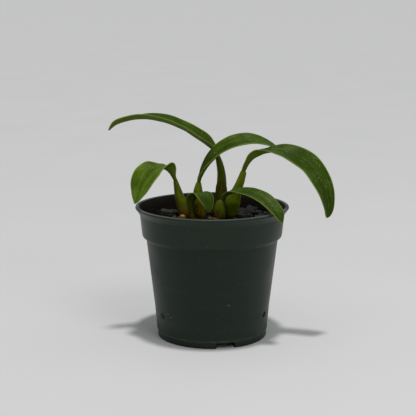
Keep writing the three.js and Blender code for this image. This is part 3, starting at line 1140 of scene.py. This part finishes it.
def rough_chip(
    name: str, size: XYZ, cuts: int, breaks: int, rng: random.Random
) -> Piece:
    """Breaks a rough chip out of a block.

    Args:
        name: The new piece's name.
        size: The chip's longest measures along X, Y and Z.
        cuts: How finely its faces are cut, 0 for the coarsest.
        breaks: How many corners are broken off.
        rng: The seeded source that breaks it.

    Returns:
        The chip, about the origin.
    """
    # Shares of the block: how far its corners draw in, how near a break comes, how wide its edges
    # are rubbed off and how much coarse and fine lumps push its faces out.
    corner_shares, nearest, farthest, rubbed = (0.72, 0.72, 0.78), 0.34, 0.46, 0.05
    coarse, fine, sunk, per_block, finer, variety = 0.12, 0.08, 0.05, 2.6, 2.7, 50
    select_only()
    bpy.ops.mesh.primitive_cube_add(size=1)
    chip = added(name)
    for vertex in chip.data.vertices:
        for axis, least in enumerate(corner_shares):
            vertex.co[axis] *= rng.uniform(least, 1.0)
    bpy.ops.object.mode_set(mode="EDIT")
    for _ in range(breaks):
        way = Vector((rng.uniform(-1, 1), rng.uniform(-1, 1), rng.uniform(-0.6, 0.6))).normalized()
        bpy.ops.mesh.select_all(action="SELECT")
        bpy.ops.mesh.bisect(
            plane_co=way * rng.uniform(nearest, farthest), plane_no=way, use_fill=True, clear_outer=True
        )
    bpy.ops.mesh.select_all(action="SELECT")
    bpy.ops.mesh.bevel(offset=rubbed, segments=1)
    bpy.ops.mesh.select_all(action="SELECT")
    bpy.ops.mesh.quads_convert_to_tris()
    if cuts:
        bpy.ops.mesh.subdivide(number_cuts=cuts)
    bpy.ops.object.mode_set(mode="OBJECT")
    offset = Vector([rng.uniform(0, variety) for _ in range(3)])
    for vertex in chip.data.vertices:
        spot = vertex.co * per_block + offset
        push = coarse * noise.noise(spot) + fine * noise.noise(spot * finer)
        vertex.co *= 1 + push - sunk
    chip.data.transform(Matrix.Diagonal((*size, 1)))
    clean_shell(chip, 1e-4)
    return chip


@dataclass
class LooseChip:
    """Grey weathered bark chip that lies on the mix."""

    node: str
    at: XYZ
    size: XYZ
    turn: float
    tilt: float
    seed: int
    cuts: int = 3
    breaks: int = 2
    tone: float = 0.6
    crease: float = 34
    finish: BarkFinish = BarkFinish("weathered conifer bark", "#0c0b08", "#2c2c24", "#55574b", 0.8, 1.8)

    def build(self) -> None:
        """Breaks the chip, lays it in its place and dresses it."""
        rng = random.Random(self.seed)
        chip = rough_chip(f"{self.node}_broken", self.size, self.cuts, self.breaks, rng)
        note_points(chip, "tone", [self.tone])
        lean = Matrix.Rotation(math.radians(self.tilt), 4, "X")
        turn = Matrix.Rotation(math.radians(self.turn), 4, "Z")
        place = Matrix.Translation([value * MM for value in self.at])
        chip.data.transform(place @ turn @ lean @ Matrix.Scale(MM, 4))
        smooth(chip, self.crease)
        settle(chip, self.finish.material(), "weathered_bark", self.node)


# Shoots


@dataclass
class SweptStem:
    """Round body swept along rows of x, y, z and radius in mm."""

    rows: tuple[Row, ...]
    rings: int = 90
    sides: int = 32
    cap: float = 0.06
    scars: Row = ()
    scar_depth: float = 0.05
    scar_width: float = 0.012
    end_rings: float = 0.22
    ridges: float = 0.03
    seed: float = 0.0

    def frame_at(self, place: float) -> tuple[Vector, Vector, Vector, float]:
        """Centre, two cross directions and radius in metres at a place along the rows.

        Args:
            place: The place, counted in spans.

        Returns:
            The centre, both directions and the radius.
        """
        x, y, z, radius = row_at(self.rows, place)
        along = direction_at(self.rows, place)
        side = Vector((1, 0, 0))
        side = (side - along * side.dot(along)).normalized()
        return Vector((x, y, z)) * MM, side, along.cross(side), radius * MM

    def mesh(self, name: str) -> Piece:
        """Maps a ball onto the swept form, with scars, faint ridges and its own measures.

        Args:
            name: The new piece's name.

        Returns:
            The stem.
        """
        select_only()
        bpy.ops.mesh.primitive_uv_sphere_add(segments=self.sides, ring_count=self.rings)
        stem = added(name)
        spans = len(self.rows) - 1
        foot = self.rows[0][2]
        shoots, scars, shares = [], [], []
        for vertex in stem.data.vertices:
            polar = 1 - math.acos(max(-1.0, min(1.0, vertex.co.z))) / math.pi
            angle = math.atan2(vertex.co.y, vertex.co.x)
            share = self._spread(polar)
            centre, side, up, radius = self.frame_at(share * spans)
            close = self._closing(share)
            offs = [(share - place) / self.scar_width for place in self.scars]
            scar = max((math.exp(-off * off) for off in offs), default=0.0)
            reach = radius * close * (1 + self._ridge(angle, share) - self.scar_depth * scar)
            vertex.co = centre + side * (reach * math.cos(angle)) + up * (reach * math.sin(angle))
            shoots += (math.cos(angle), math.sin(angle), vertex.co.z / MM - foot)
            scars.append(scar * 0.6)
            shares.append(share)
        note_points(stem, "shoot", shoots)
        note_points(stem, "scar", scars)
        note_points(stem, "share", shares)
        smooth(stem)
        return stem

    def _spread(self, polar: float) -> float:
        """Share of the length for a ring: rings lie close together in both rounded ends.

        Args:
            polar: The ring's share of the way over the ball.

        Returns:
            The share of the length.
        """
        ends = self.end_rings
        if polar < ends:
            return self.cap * (1 - math.cos(polar / ends * math.pi / 2))
        if polar > 1 - ends:
            return 1 - self.cap * (1 - math.cos((1 - polar) / ends * math.pi / 2))
        return self.cap + (1 - 2 * self.cap) * (polar - ends) / (1 - 2 * ends)

    def _closing(self, share: float) -> float:
        """Share of the radius that the rounded ends leave."""
        inward = min(share, 1 - share) / self.cap
        return math.sqrt(max(0.0, 1 - (1 - inward) ** 2)) if inward < 1 else 1.0

    def _ridge(self, angle: float, share: float) -> float:
        """Faint lengthwise ridges and swellings, as a share of the radius."""
        spot = Vector((math.cos(angle) * 1.9, math.sin(angle) * 1.9, share * 2.2 + self.seed * 7))
        return self.ridges * noise.noise(spot * 1.6)


@dataclass
class Pseudobulb:
    """One swollen stem of a shoot, from its foot in the mix to the base of its leaf."""

    node: str
    rows: tuple[Row, ...]
    tone: StemTone = StemTone.RIPE
    scars: Row = (0.14, 0.975)

    def build(self, number: int) -> None:
        """Sweeps the stem and dresses it; its number varies its surface.

        Args:
            number: The stem's number.
        """
        swept = SweptStem(self.rows, scars=self.scars, cap=0.03, seed=number)
        stem = swept.mesh(f"{self.node}_flesh")
        settle(stem, self.tone.value.material(), "pseudobulb_skin", self.node)


@dataclass
class Sheath:
    """Papery bract wrapped round a stem, split down one side, with a ragged top."""

    name: str
    rows: tuple[Row, ...]
    low: float
    high: float
    turn: float
    wrap: float
    finish: DrySheath
    flare: float = -0.05
    ragged: float = 2.2
    thickness: float = 0.18
    clearance: float = 0.22
    crinkle: float = 0.1
    columns: int = 48
    courses: int = 24
    crease: float = 60

    def build(self) -> None:
        """Wraps the sheath and dresses it."""
        select_only()
        bpy.ops.mesh.primitive_grid_add(x_subdivisions=self.columns, y_subdivisions=self.courses, size=2)
        sheath = added(self.name)
        stem = SweptStem(self.rows)
        foot = self.rows[0][2]
        shoots = []
        for vertex in sheath.data.vertices:
            spread, climb = vertex.co.x, (vertex.co.y + 1) / 2
            angle = math.radians(self.turn + spread * self.wrap / 2)
            tear = noise.noise(Vector((angle * 1.7, self.low * 0.3, 1.0)))
            tear += 0.5 * noise.noise(Vector((angle * 7, self.low * 0.3, 4.0)))
            # The sheath is highest at its middle and lower towards its two edges.
            point = 1 - abs(spread) ** 1.4 * 0.7
            top = self.low + (self.high - self.low) * point + self.ragged * tear
            height = self.low + (top - self.low) * climb
            centre, side, up, radius = stem.frame_at(self._place(height))
            lift = self.clearance + self.flare * rise_between(climb, 0.6, 1.0)
            lift += self.crinkle * noise.noise(Vector((angle * 2.5, height * 0.35, 2.0)))
            reach = radius + lift * MM
            vertex.co = centre + side * (reach * math.cos(angle)) + up * (reach * math.sin(angle))
            shoots += (math.cos(angle), math.sin(angle), height - foot)
        note_points(sheath, "shoot", shoots)
        apply_modifier(sheath, "SOLIDIFY", thickness=self.thickness * MM, offset=0)
        smooth(sheath, self.crease)
        settle(sheath, self.finish.material(), "pseudobulb_skin")

    def _place(self, height: float) -> float:
        """Place along the rows, in spans, whose height this is.

        Args:
            height: The height in mm.

        Returns:
            The place.
        """
        low, high = 0.0, len(self.rows) - 1.0
        for _ in range(24):
            middle = (low + high) / 2
            if row_at(self.rows, middle)[2] < height:
                low = middle
            else:
                high = middle
        return (low + high) / 2


@dataclass
class DormantEye:
    """Small swollen bud that waits at the end of the rhizome."""

    name: str
    rows: tuple[Row, ...]
    finish: BudScale

    def build(self) -> None:
        """Sweeps the bud and dresses it."""
        swept = SweptStem(self.rows, rings=48, sides=24, cap=0.2, scars=(0.35, 0.62), scar_depth=0.12)
        settle(swept.mesh(self.name), self.finish.material(), "rhizome_bark")


@dataclass
class Rhizome:
    """Creeping woody stem that joins the shoots, mostly sunk in the mix."""

    branches: tuple[tuple[Row, ...], ...]
    skin: PseudobulbSkin = PseudobulbSkin(
        "rhizome skin, dry olive brown", "#4a4010", "#2c2208", "#3a2a0c", low_mm=2.0, foot_mm=1.0
    )
    joints: int = 9
    uneven: float = 0.03

    def build(self) -> None:
        """Sweeps the branches, joins them and dresses them."""
        joints = self.joints
        scars = tuple(i / joints + self.uneven * (i % 2) for i in range(1, joints))
        pieces = []
        for k, rows in enumerate(self.branches):
            swept = SweptStem(
                rows, rings=80, sides=24, cap=0.08, scars=scars, scar_depth=0.14, ridges=0.1, seed=k + 3
            )
            pieces.append(swept.mesh(f"rhizome_branch_{k}"))
        settle(joined("rhizome_stem", pieces), self.skin.material(), "rhizome_bark", "rhizome")


@dataclass
class Leaf:
    """Thick strap-shaped leaf: a channelled blade along a midrib, with a rounded tip.

    Each station holds the midrib's x, y and z, the half width, the fold and the roll, in mm and
    degrees.
    """

    node: str
    heading: float
    stations: tuple[Row, ...]
    tone: LeafTone = LeafTone.DEEP
    columns: int = 22
    step: float = 1.0
    midrib_thickness: float = 1.45
    margin_thickness: float = 0.62
    base_thickness: float = 1.55
    base_fold: float = 72
    sunk: float = 0.9
    ripple: float = 0.14
    tip: float = 0.3
    slender: float = 2.4
    stout_until: float = 1.3
    phase: float = 0.0

    def build(self, number: int) -> None:
        """Lays out the blade, gives it its thickness and dresses it; its number varies its ripple.

        Args:
            number: The leaf's number.
        """
        self.phase = 9 * number
        rows = round(self._length() / self.step)
        select_only()
        bpy.ops.mesh.primitive_grid_add(x_subdivisions=rows, y_subdivisions=self.columns, size=2)
        leaf = added(f"{self.node}_blade")
        flesh = leaf.vertex_groups.new(name="flesh")
        spans = len(self.stations) - 1
        length = self._length()
        measures = []
        for vertex in leaf.data.vertices:
            share, across = (vertex.co.x + 1) / 2, -vertex.co.y
            place = self._spread(share) * spans
            vertex.co = self._surface(place, across)
            flesh.add([vertex.index], self._flesh(place, abs(across)), "REPLACE")
            measures += (across, place / spans * length, place / spans)
        note_points(leaf, "blade", measures)
        upper = len(leaf.data.vertices)
        apply_modifier(
            leaf,
            "SOLIDIFY",
            thickness=self.base_thickness * MM,
            offset=-1,
            vertex_group="flesh",
            thickness_vertex_group=0.0,
        )
        below = len(leaf.data.vertices) - upper
        note_points(leaf, "underside", [0.0] * upper + [1.0] * below)
        apply_modifier(leaf, "SUBSURF", levels=1, render_levels=1)
        smooth(leaf)
        settle(leaf, self.tone.value.material(), "leaf_blade", self.node)

    def _length(self) -> float:
        """Length of the midrib in mm."""
        points = [Vector(station[:3]) for station in self.stations]
        return sum((b - a).length for a, b in zip(points, points[1:]))

    @staticmethod
    def _spread(share: float) -> float:
        """Share of the length for a row: rows lie closer together towards the rounded tip."""
        return share + 0.045 * math.sin(share * math.pi) * share**4

    def _half_width(self, place: float) -> float:
        """Half width in mm, rounded off at the tip.

        Args:
            place: The place along the stations, in spans.

        Returns:
            The half width.
        """
        spans = len(self.stations) - 1
        half = max(row_at(self.stations, place)[3], 0.4)
        left = spans - place
        if left > self.tip:
            return half
        return half * math.sqrt(max(0.02, 1 - (1 - left / self.tip) ** 2))

    def _surface(self, place: float, across: float) -> Vector:
        """Point of the upper surface, in metres.

        Args:
            place: The place along the stations, in spans.
            across: From -1 at the left margin to 1 at the right margin.

        Returns:
            The point.
        """
        x, y, z, _, fold, roll = row_at(self.stations, place)
        half = self._half_width(place)
        along = direction_at(self.stations, place)
        angle = math.radians(self.heading - 90)
        right = Vector((math.cos(angle), math.sin(angle), 0))
        level = (right - along * right.dot(along)).normalized()
        upright = level.cross(along)
        fold += (self.base_fold - fold) * self._stout(place)
        roll, fold = math.radians(roll), math.radians(fold)
        side = level * math.cos(roll) - upright * math.sin(roll)
        normal = upright * math.cos(roll) + level * math.sin(roll)
        # The channel is rounded along the midrib, and its sides curl back a little.
        rounding = 0.004
        reach = math.sqrt(across * across + rounding) - math.sqrt(rounding)
        lift = half * math.sin(fold) * reach * (1.25 - 0.25 * reach)
        wave = noise.noise(Vector((place * 1.1, across * 1.2, self.phase)))
        lift += self.ripple * wave * min(1, half / 4) * min(1, place)
        # The base is sunk a little way into the top of the stem.
        base = max(0.0, 1 - place / 0.8)
        point = Vector((x, y, z)) - along * (self.sunk * base * base)
        return (point + side * (half * math.cos(fold) * across) + normal * lift) * MM

    def _stout(self, place: float) -> float:
        """How much of the stout round base is left at a place, from 1 at its foot to 0."""
        return 1 - rise_between(place, 0.1, self.stout_until)

    def _flesh(self, place: float, reach: float) -> float:
        """Share of the base's thickness: less at the margin and along the blade.

        Args:
            place: The place along the stations, in spans.
            reach: From 0 at the midrib to 1 at the margin.

        Returns:
            The share.
        """
        slim = min(1.0, self._half_width(place) / self.slender)
        thickness = self.margin_thickness
        thickness += (self.midrib_thickness - thickness) * slim * (1 - reach) ** 1.3
        stout = self.base_thickness * (1 - 0.35 * reach**2)
        return (thickness + (stout - thickness) * self._stout(place)) / self.base_thickness


# Whole plant


@dataclass
class Orchid:
    """The plant: rhizome, six shoots with one leaf each, and the dry sheaths on them."""

    leaves: tuple[Leaf, ...] = (
        Leaf(
            "leaf_left",
            tone=LeafTone.BRIGHT,
            heading=208,
            stations=(
                (-24.2, -4, 105.1, 1.3, 30, 0), (-25.5, -4.2, 107.7, 2.1, 42, 12),
                (-27.6, -4.8, 110.9, 5.5, 58, 28), (-29.9, -6, 113.1, 6.1, 42, 18),
                (-32.7, -7.5, 114.1, 5.9, 17, -3), (-36, -9, 113.8, 7.3, 10, -18),
                (-38.9, -10.5, 112.6, 8.8, 14, -27), (-42.6, -12.8, 108.3, 9.5, 19, -29),
                (-45.5, -14.6, 103.7, 8.7, 13, -26), (-47.2, -16, 99.2, 6.6, 8, -23),
                (-48.7, -17.5, 94.9, 3.8, 10, -18), (-50.1, -18.5, 91.9, 0.5, 8, -18),
            ),
        ),
        Leaf(
            "leaf_small",
            heading=-48,
            stations=(
                (-12.9, -9.5, 84.7, 1.4, 30, 0), (-13.3, -9.2, 88.9, 3.2, 30, 0),
                (-13, -9.2, 92.8, 4.8, 24, 0), (-10.9, -10.3, 96.4, 5.6, 12, 0),
                (-7.5, -12.4, 97.9, 6.2, 5, 0), (-4.7, -15.2, 96.2, 6.6, 5, 2),
                (-3.2, -17.2, 92, 5.2, 8, 0), (-2.3, -18.5, 88.3, 2.7, 10, 0),
                (-2.2, -19.2, 86.1, 0.5, 10, 0),
            ),
        ),
        Leaf(
            "leaf_arching",
            tone=LeafTone.MIDDLE,
            heading=2,
            stations=(
                (-8.7, 2, 103, 1.4, 30, 0), (-7.8, 1.7, 106.4, 2.3, 30, 5),
                (-5.2, 1, 111.4, 4.2, 30, 13), (-0.2, 0.5, 118, 6, 28, 22), (5.5, 0, 123.2, 7, 28, 26),
                (13, 0, 127.3, 7.7, 27, 27), (20.8, 0.3, 129.6, 7.7, 23, 26),
                (27.4, 0.8, 130.2, 6.9, 18, 22), (34, 1.5, 129.2, 5.6, 13, 17),
                (39.3, 2.6, 127.3, 4.3, 8, 12), (45.4, 3.9, 124.5, 0.6, 8, 4),
            ),
        ),
        Leaf(
            "leaf_tall",
            tone=LeafTone.MIDDLE,
            heading=192,
            stations=(
                (2.2, 9, 122.2, 1.5, 30, 0), (-0.2, 8.6, 124.9, 4.4, 38, -20),
                (-4.3, 8, 128.1, 6.8, 37, -24), (-11.3, 6.5, 133.1, 7.4, 32, -22),
                (-18.6, 4.5, 138.1, 7.1, 28, -17), (-29.5, 2, 142.8, 7.3, 28, -12),
                (-40.5, 0, 145.5, 6.7, 23, -1), (-49.5, -1.5, 145.8, 5.6, 20, 11),
                (-58.5, -3.2, 144, 4.6, 18, 20), (-63.9, -4.2, 141.8, 3.1, 18, 24),
                (-67.4, -5, 138, 0.5, 15, 24),
            ),
        ),
        Leaf(
            "leaf_large",
            heading=-10,
            stations=(
                (20.9, -5, 111.8, 1.8, 30, 0), (22.9, -5, 116, 3, 44, 0),
                (25.9, -5.3, 119.6, 5, 46, -2), (29.8, -6, 122.2, 6, 36, -8),
                (34.3, -7, 124.2, 6.4, 19, -3), (40, -8, 125.1, 7.3, 10, 12),
                (47.1, -9, 124.2, 7.8, 12, 27), (55.6, -10.2, 120.8, 8.2, 14, 40),
                (63.4, -11.4, 115.4, 8.4, 15, 44), (69.1, -12.6, 106, 8.5, 21, 43),
                (72.6, -13.6, 97.5, 7.5, 24, 40), (74.5, -14.4, 89.1, 5.4, 24, 37),
                (74.8, -14.8, 84.2, 3.2, 22, 36), (74.6, -15, 81.9, 0.5, 20, 36),
            ),
        ),
        Leaf(
            "leaf_front",
            heading=-38,
            stations=(
                (7.1, -7.2, 92.9, 1.5, 30, 0), (8.4, -8.4, 95.4, 2, 34, 0),
                (11.2, -11, 97.8, 3.1, 30, 4), (15.4, -14.5, 99.5, 4.6, 16, 10),
                (22, -19, 99.6, 5.5, 15, 15), (27, -22.5, 98.6, 6, 15, 15),
                (32.3, -26.2, 96.3, 6.2, 18, 16), (36.8, -30, 92.6, 5.9, 22, 16),
                (40.4, -33, 88.7, 5.2, 24, 13), (42.7, -35, 85.2, 3.4, 22, 8),
                (44.2, -36, 83, 0.5, 20, 8),
            ),
        ),
    )
    bulbs: tuple[Pseudobulb, ...] = (
        Pseudobulb(
            "pseudobulb_left",
            tone=StemTone.OLD,
            rows=(
                (-16.5, -3.6, 77.5, 3.6), (-17.1, -3.8, 82, 5), (-18.2, -4, 85.6, 4.8),
                (-19.6, -4, 89, 4), (-21.3, -4, 93.4, 3.2), (-22.4, -4, 97.6, 2.55),
                (-23.4, -4, 101.9, 1.9), (-24.1, -4, 104.7, 1.5),
            ),
        ),
        Pseudobulb(
            "pseudobulb_small",
            tone=StemTone.OLD,
            rows=(
                (-12.3, -10.4, 77, 1.8), (-12.7, -10.2, 79.5, 2.3), (-13, -10, 82.2, 1.8),
                (-13.1, -9.8, 84.2, 1.35),
            ),
        ),
        Pseudobulb(
            "pseudobulb_arching",
            tone=StemTone.YOUNG,
            rows=(
                (-8, 2, 76.5, 2.6), (-8.2, 2, 80.5, 3.9), (-8.6, 2, 85.5, 3.8), (-9.2, 2, 91.5, 3.4),
                (-9.3, 2, 96.5, 3.1), (-9.1, 2, 100, 2.3), (-8.8, 2, 102.6, 1.6),
            ),
        ),
        Pseudobulb(
            "pseudobulb_tall",
            rows=(
                (6.2, 8, 76, 3), (6.2, 8, 80, 3.9), (6.1, 8, 88, 4), (6.1, 8.2, 95, 3.7),
                (6.4, 8.5, 102, 3.2), (6.1, 8.8, 108, 2.7), (5.1, 9, 113.4, 2.3), (3.9, 9, 117.8, 1.8),
                (2.6, 9, 121.6, 1.45),
            ),
        ),
        Pseudobulb(
            "pseudobulb_large",
            tone=StemTone.YOUNG,
            rows=(
                (12.6, -2.2, 77.5, 2.4), (12.8, -2, 81, 3.7), (13, -2, 86.5, 4.8),
                (13.7, -2.4, 90.5, 5), (15.1, -3, 94.8, 3.9), (17, -4, 100, 3),
                (18.7, -4.5, 104.6, 2.6), (20.7, -5, 111.2, 1.95),
            ),
        ),
        Pseudobulb(
            "pseudobulb_front",
            rows=(
                (4.7, -7.2, 77.5, 2.8), (4.8, -7.2, 81.5, 4), (4.9, -7.2, 86, 4.2),
                (5.4, -7.2, 89.4, 3.2), (6.6, -7.2, 92.2, 1.6),
            ),
        ),
    )
    branches: tuple[tuple[Row, ...], ...] = (
        (
            (-23.5, -7.5, 79.5, 0.9), (-21.4, -7.4, 79.4, 2.2), (-17, -4.4, 77.6, 2.9),
            (-12, -2, 77, 2.7), (-6, 2.4, 76.6, 3), (0, 5.4, 76.4, 2.8), (6, 7.6, 76.4, 2.9),
            (10.6, 3, 76.8, 2.7), (12.8, -2.2, 77.4, 2.6), (14.4, -5.6, 77.8, 1.2),
        ),
        (
            (5.8, 6.4, 76.4, 2.2), (4.2, 0, 76.8, 2.5), (4.8, -7, 77.2, 2.5), (2.4, -11.4, 79.4, 1.9),
            (0.8, -12.8, 81.2, 0.7),
        ),
        (
            (-10.6, -1.6, 76.6, 1.7), (-11.2, -6.4, 76.6, 1.8), (-12.3, -10.6, 77, 1.9),
        ),
    )
    eyes: tuple[DormantEye, ...] = (
        DormantEye(
            "dormant_eye_left",
            (
                (-18.6, -7.6, 79.4, 1.8), (-19, -7.8, 80.5, 2.2), (-19.3, -8, 81.7, 2.05),
                (-19.5, -8.1, 82.9, 1.3),
            ),
            BudScale("bud scales, orange tan", "#7c4c20", "#44220e", "#94743a"),
        ),
        DormantEye(
            "dormant_eye_front",
            (
                (3.4, -11, 79.2, 1.7), (1.2, -11.8, 80.2, 1.6), (-0.8, -12.4, 81, 1.25),
                (-2.8, -12.8, 81.7, 0.6),
            ),
            BudScale("bud scales, red brown", "#4a2812", "#26120a", "#8c8424"),
        ),
    )
    red_paper: DrySheath = DrySheath("dry sheath, red brown", "#5c3c1a", "#3a1c0e", "#424e04", 0.46)
    brown_paper: DrySheath = DrySheath("dry sheath, brown", "#7c5e1a", "#44240a", "#525a0a", 0.52)
    rust_paper: DrySheath = DrySheath("dry sheath, rust", "#7c5220", "#552c12", "#565210", 0.56)

    def build(self) -> None:
        """Builds the rhizome, the stems, the sheaths and the leaves."""
        Rhizome(self.branches).build()
        for number, bulb in enumerate(self.bulbs, 1):
            bulb.build(number)
        for sheath in self._sheaths():
            sheath.build()
        for eye in self.eyes:
            eye.build()
        for number, leaf in enumerate(self.leaves, 1):
            leaf.build(number)

    def _sheaths(self) -> list[Sheath]:
        """The sheaths that show in the photo, with the turn of each about its stem.

        Returns:
            The sheaths.
        """
        rows = {bulb.node: bulb.rows for bulb in self.bulbs}
        tall, left = rows["pseudobulb_tall"], rows["pseudobulb_left"]
        arching, front = rows["pseudobulb_arching"], rows["pseudobulb_front"]
        return [
            Sheath("sheath_tall", tall, 84, 104, 262, 300, self.red_paper),
            Sheath("sheath_tall_foot", tall, 78, 87, 110, 230, self.brown_paper),
            Sheath("sheath_left_foot", left, 78, 88, 350, 170, self.rust_paper, flare=0.3),
            Sheath("sheath_arching_foot", arching, 78, 90, 290, 270, self.brown_paper),
            Sheath("sheath_front_rim", front, 79, 90.5, 150, 190, self.rust_paper, flare=0.5),
        ]


# Studio


@dataclass
class Studio:
    """Pale table top, soft lights, grey surroundings and the photo's camera."""

    floor_size: float = 160.0
    camera_at: XYZ = (-0.002735, -0.7293, 0.2246)
    camera_pitch: float = 79.21
    lens: float = 97.14
    sensor: float = 36.0
    surroundings: str = "#c6c8ca"
    surroundings_strength: float = 0.6
    sky_strength: float = 1.6
    sky_spread: float = 5.0
    sky_from: XYZ = (0.034, -0.11, 1.0)
    softbox_at: XYZ = (0.42, -0.72, 0.95)
    softbox_size: float = 0.5
    softbox_power: float = 2.7
    aim: XYZ = (0, 0, 0.08)
    finish: PaleTableTop = field(default_factory=PaleTableTop)

    def build(self) -> None:
        """Lays the floor, hangs the lights and sets the camera."""
        select_only()
        bpy.ops.mesh.primitive_plane_add(size=self.floor_size)
        floor = added("studio_floor")
        floor.data.materials.append(self.finish.material())
        overhead = self._lamp("overhead_light", "SUN", self.sky_from)
        overhead.angle = math.radians(self.sky_spread)
        overhead.energy = self.sky_strength
        softbox = self._lamp("front_softbox", "AREA", self.softbox_at)
        softbox.size = self.softbox_size
        softbox.energy = self.softbox_power
        self._surround()
        self._camera()

    def _lamp(self, name: str, kind: str, at: XYZ) -> bpy.types.Light:
        """Hangs a light of a kind at a place, facing the plant, and returns its settings.

        Args:
            name: The light's name.
            kind: Its type.
            at: Its place in metres.

        Returns:
            Its settings.
        """
        select_only()
        turn = (Vector(self.aim) - Vector(at)).to_track_quat("-Z", "Y").to_euler()
        bpy.ops.object.light_add(type=kind, location=at, rotation=turn)
        lamp = bpy.context.object
        lamp.name = name
        return lamp.data

    def _surround(self) -> None:
        """Sets plain grey surroundings and plain colour handling."""
        world = bpy.data.worlds.new("plain grey room")
        world.use_nodes = True
        backdrop = world.node_tree.nodes["Background"]
        backdrop.inputs["Color"].default_value = linear(self.surroundings)
        backdrop.inputs["Strength"].default_value = self.surroundings_strength
        bpy.context.scene.world = world
        bpy.context.scene.view_settings.view_transform = "Standard"

    def _camera(self) -> None:
        """Sets the camera that the photo was solved for."""
        select_only()
        tilt = (math.radians(self.camera_pitch), 0, 0)
        bpy.ops.object.camera_add(location=self.camera_at, rotation=tilt)
        camera = bpy.context.object
        camera.data.lens = self.lens
        camera.data.sensor_width = self.sensor
        bpy.context.scene.camera = camera


def main() -> None:
    """Builds the pot, the mix, the plant and the studio."""
    logging.basicConfig(level=logging.INFO, format="%(message)s")
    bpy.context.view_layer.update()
    orchid = Orchid()
    NurseryPot().build()
    WallCrumbs().build()
    PottingMix(feet=tuple(bulb.rows[0] for bulb in orchid.bulbs)).build()
    LooseChip("bark_chip_left", (-30.2, 12, 79.6), (10.5, 7, 4.6), -8, 14, 5).build()
    LooseChip("bark_chip_right", (21.6, 3.4, 78.6), (8.4, 6.8, 3.8), 24, -12, 6).build()
    LooseChip("bark_chip_far_right", (32.4, -5.6, 79.8), (9.4, 6, 3.6), -18, 12, 8).build()
    orchid.build()
    Studio().build()


if __name__ == "__main__":
    main()
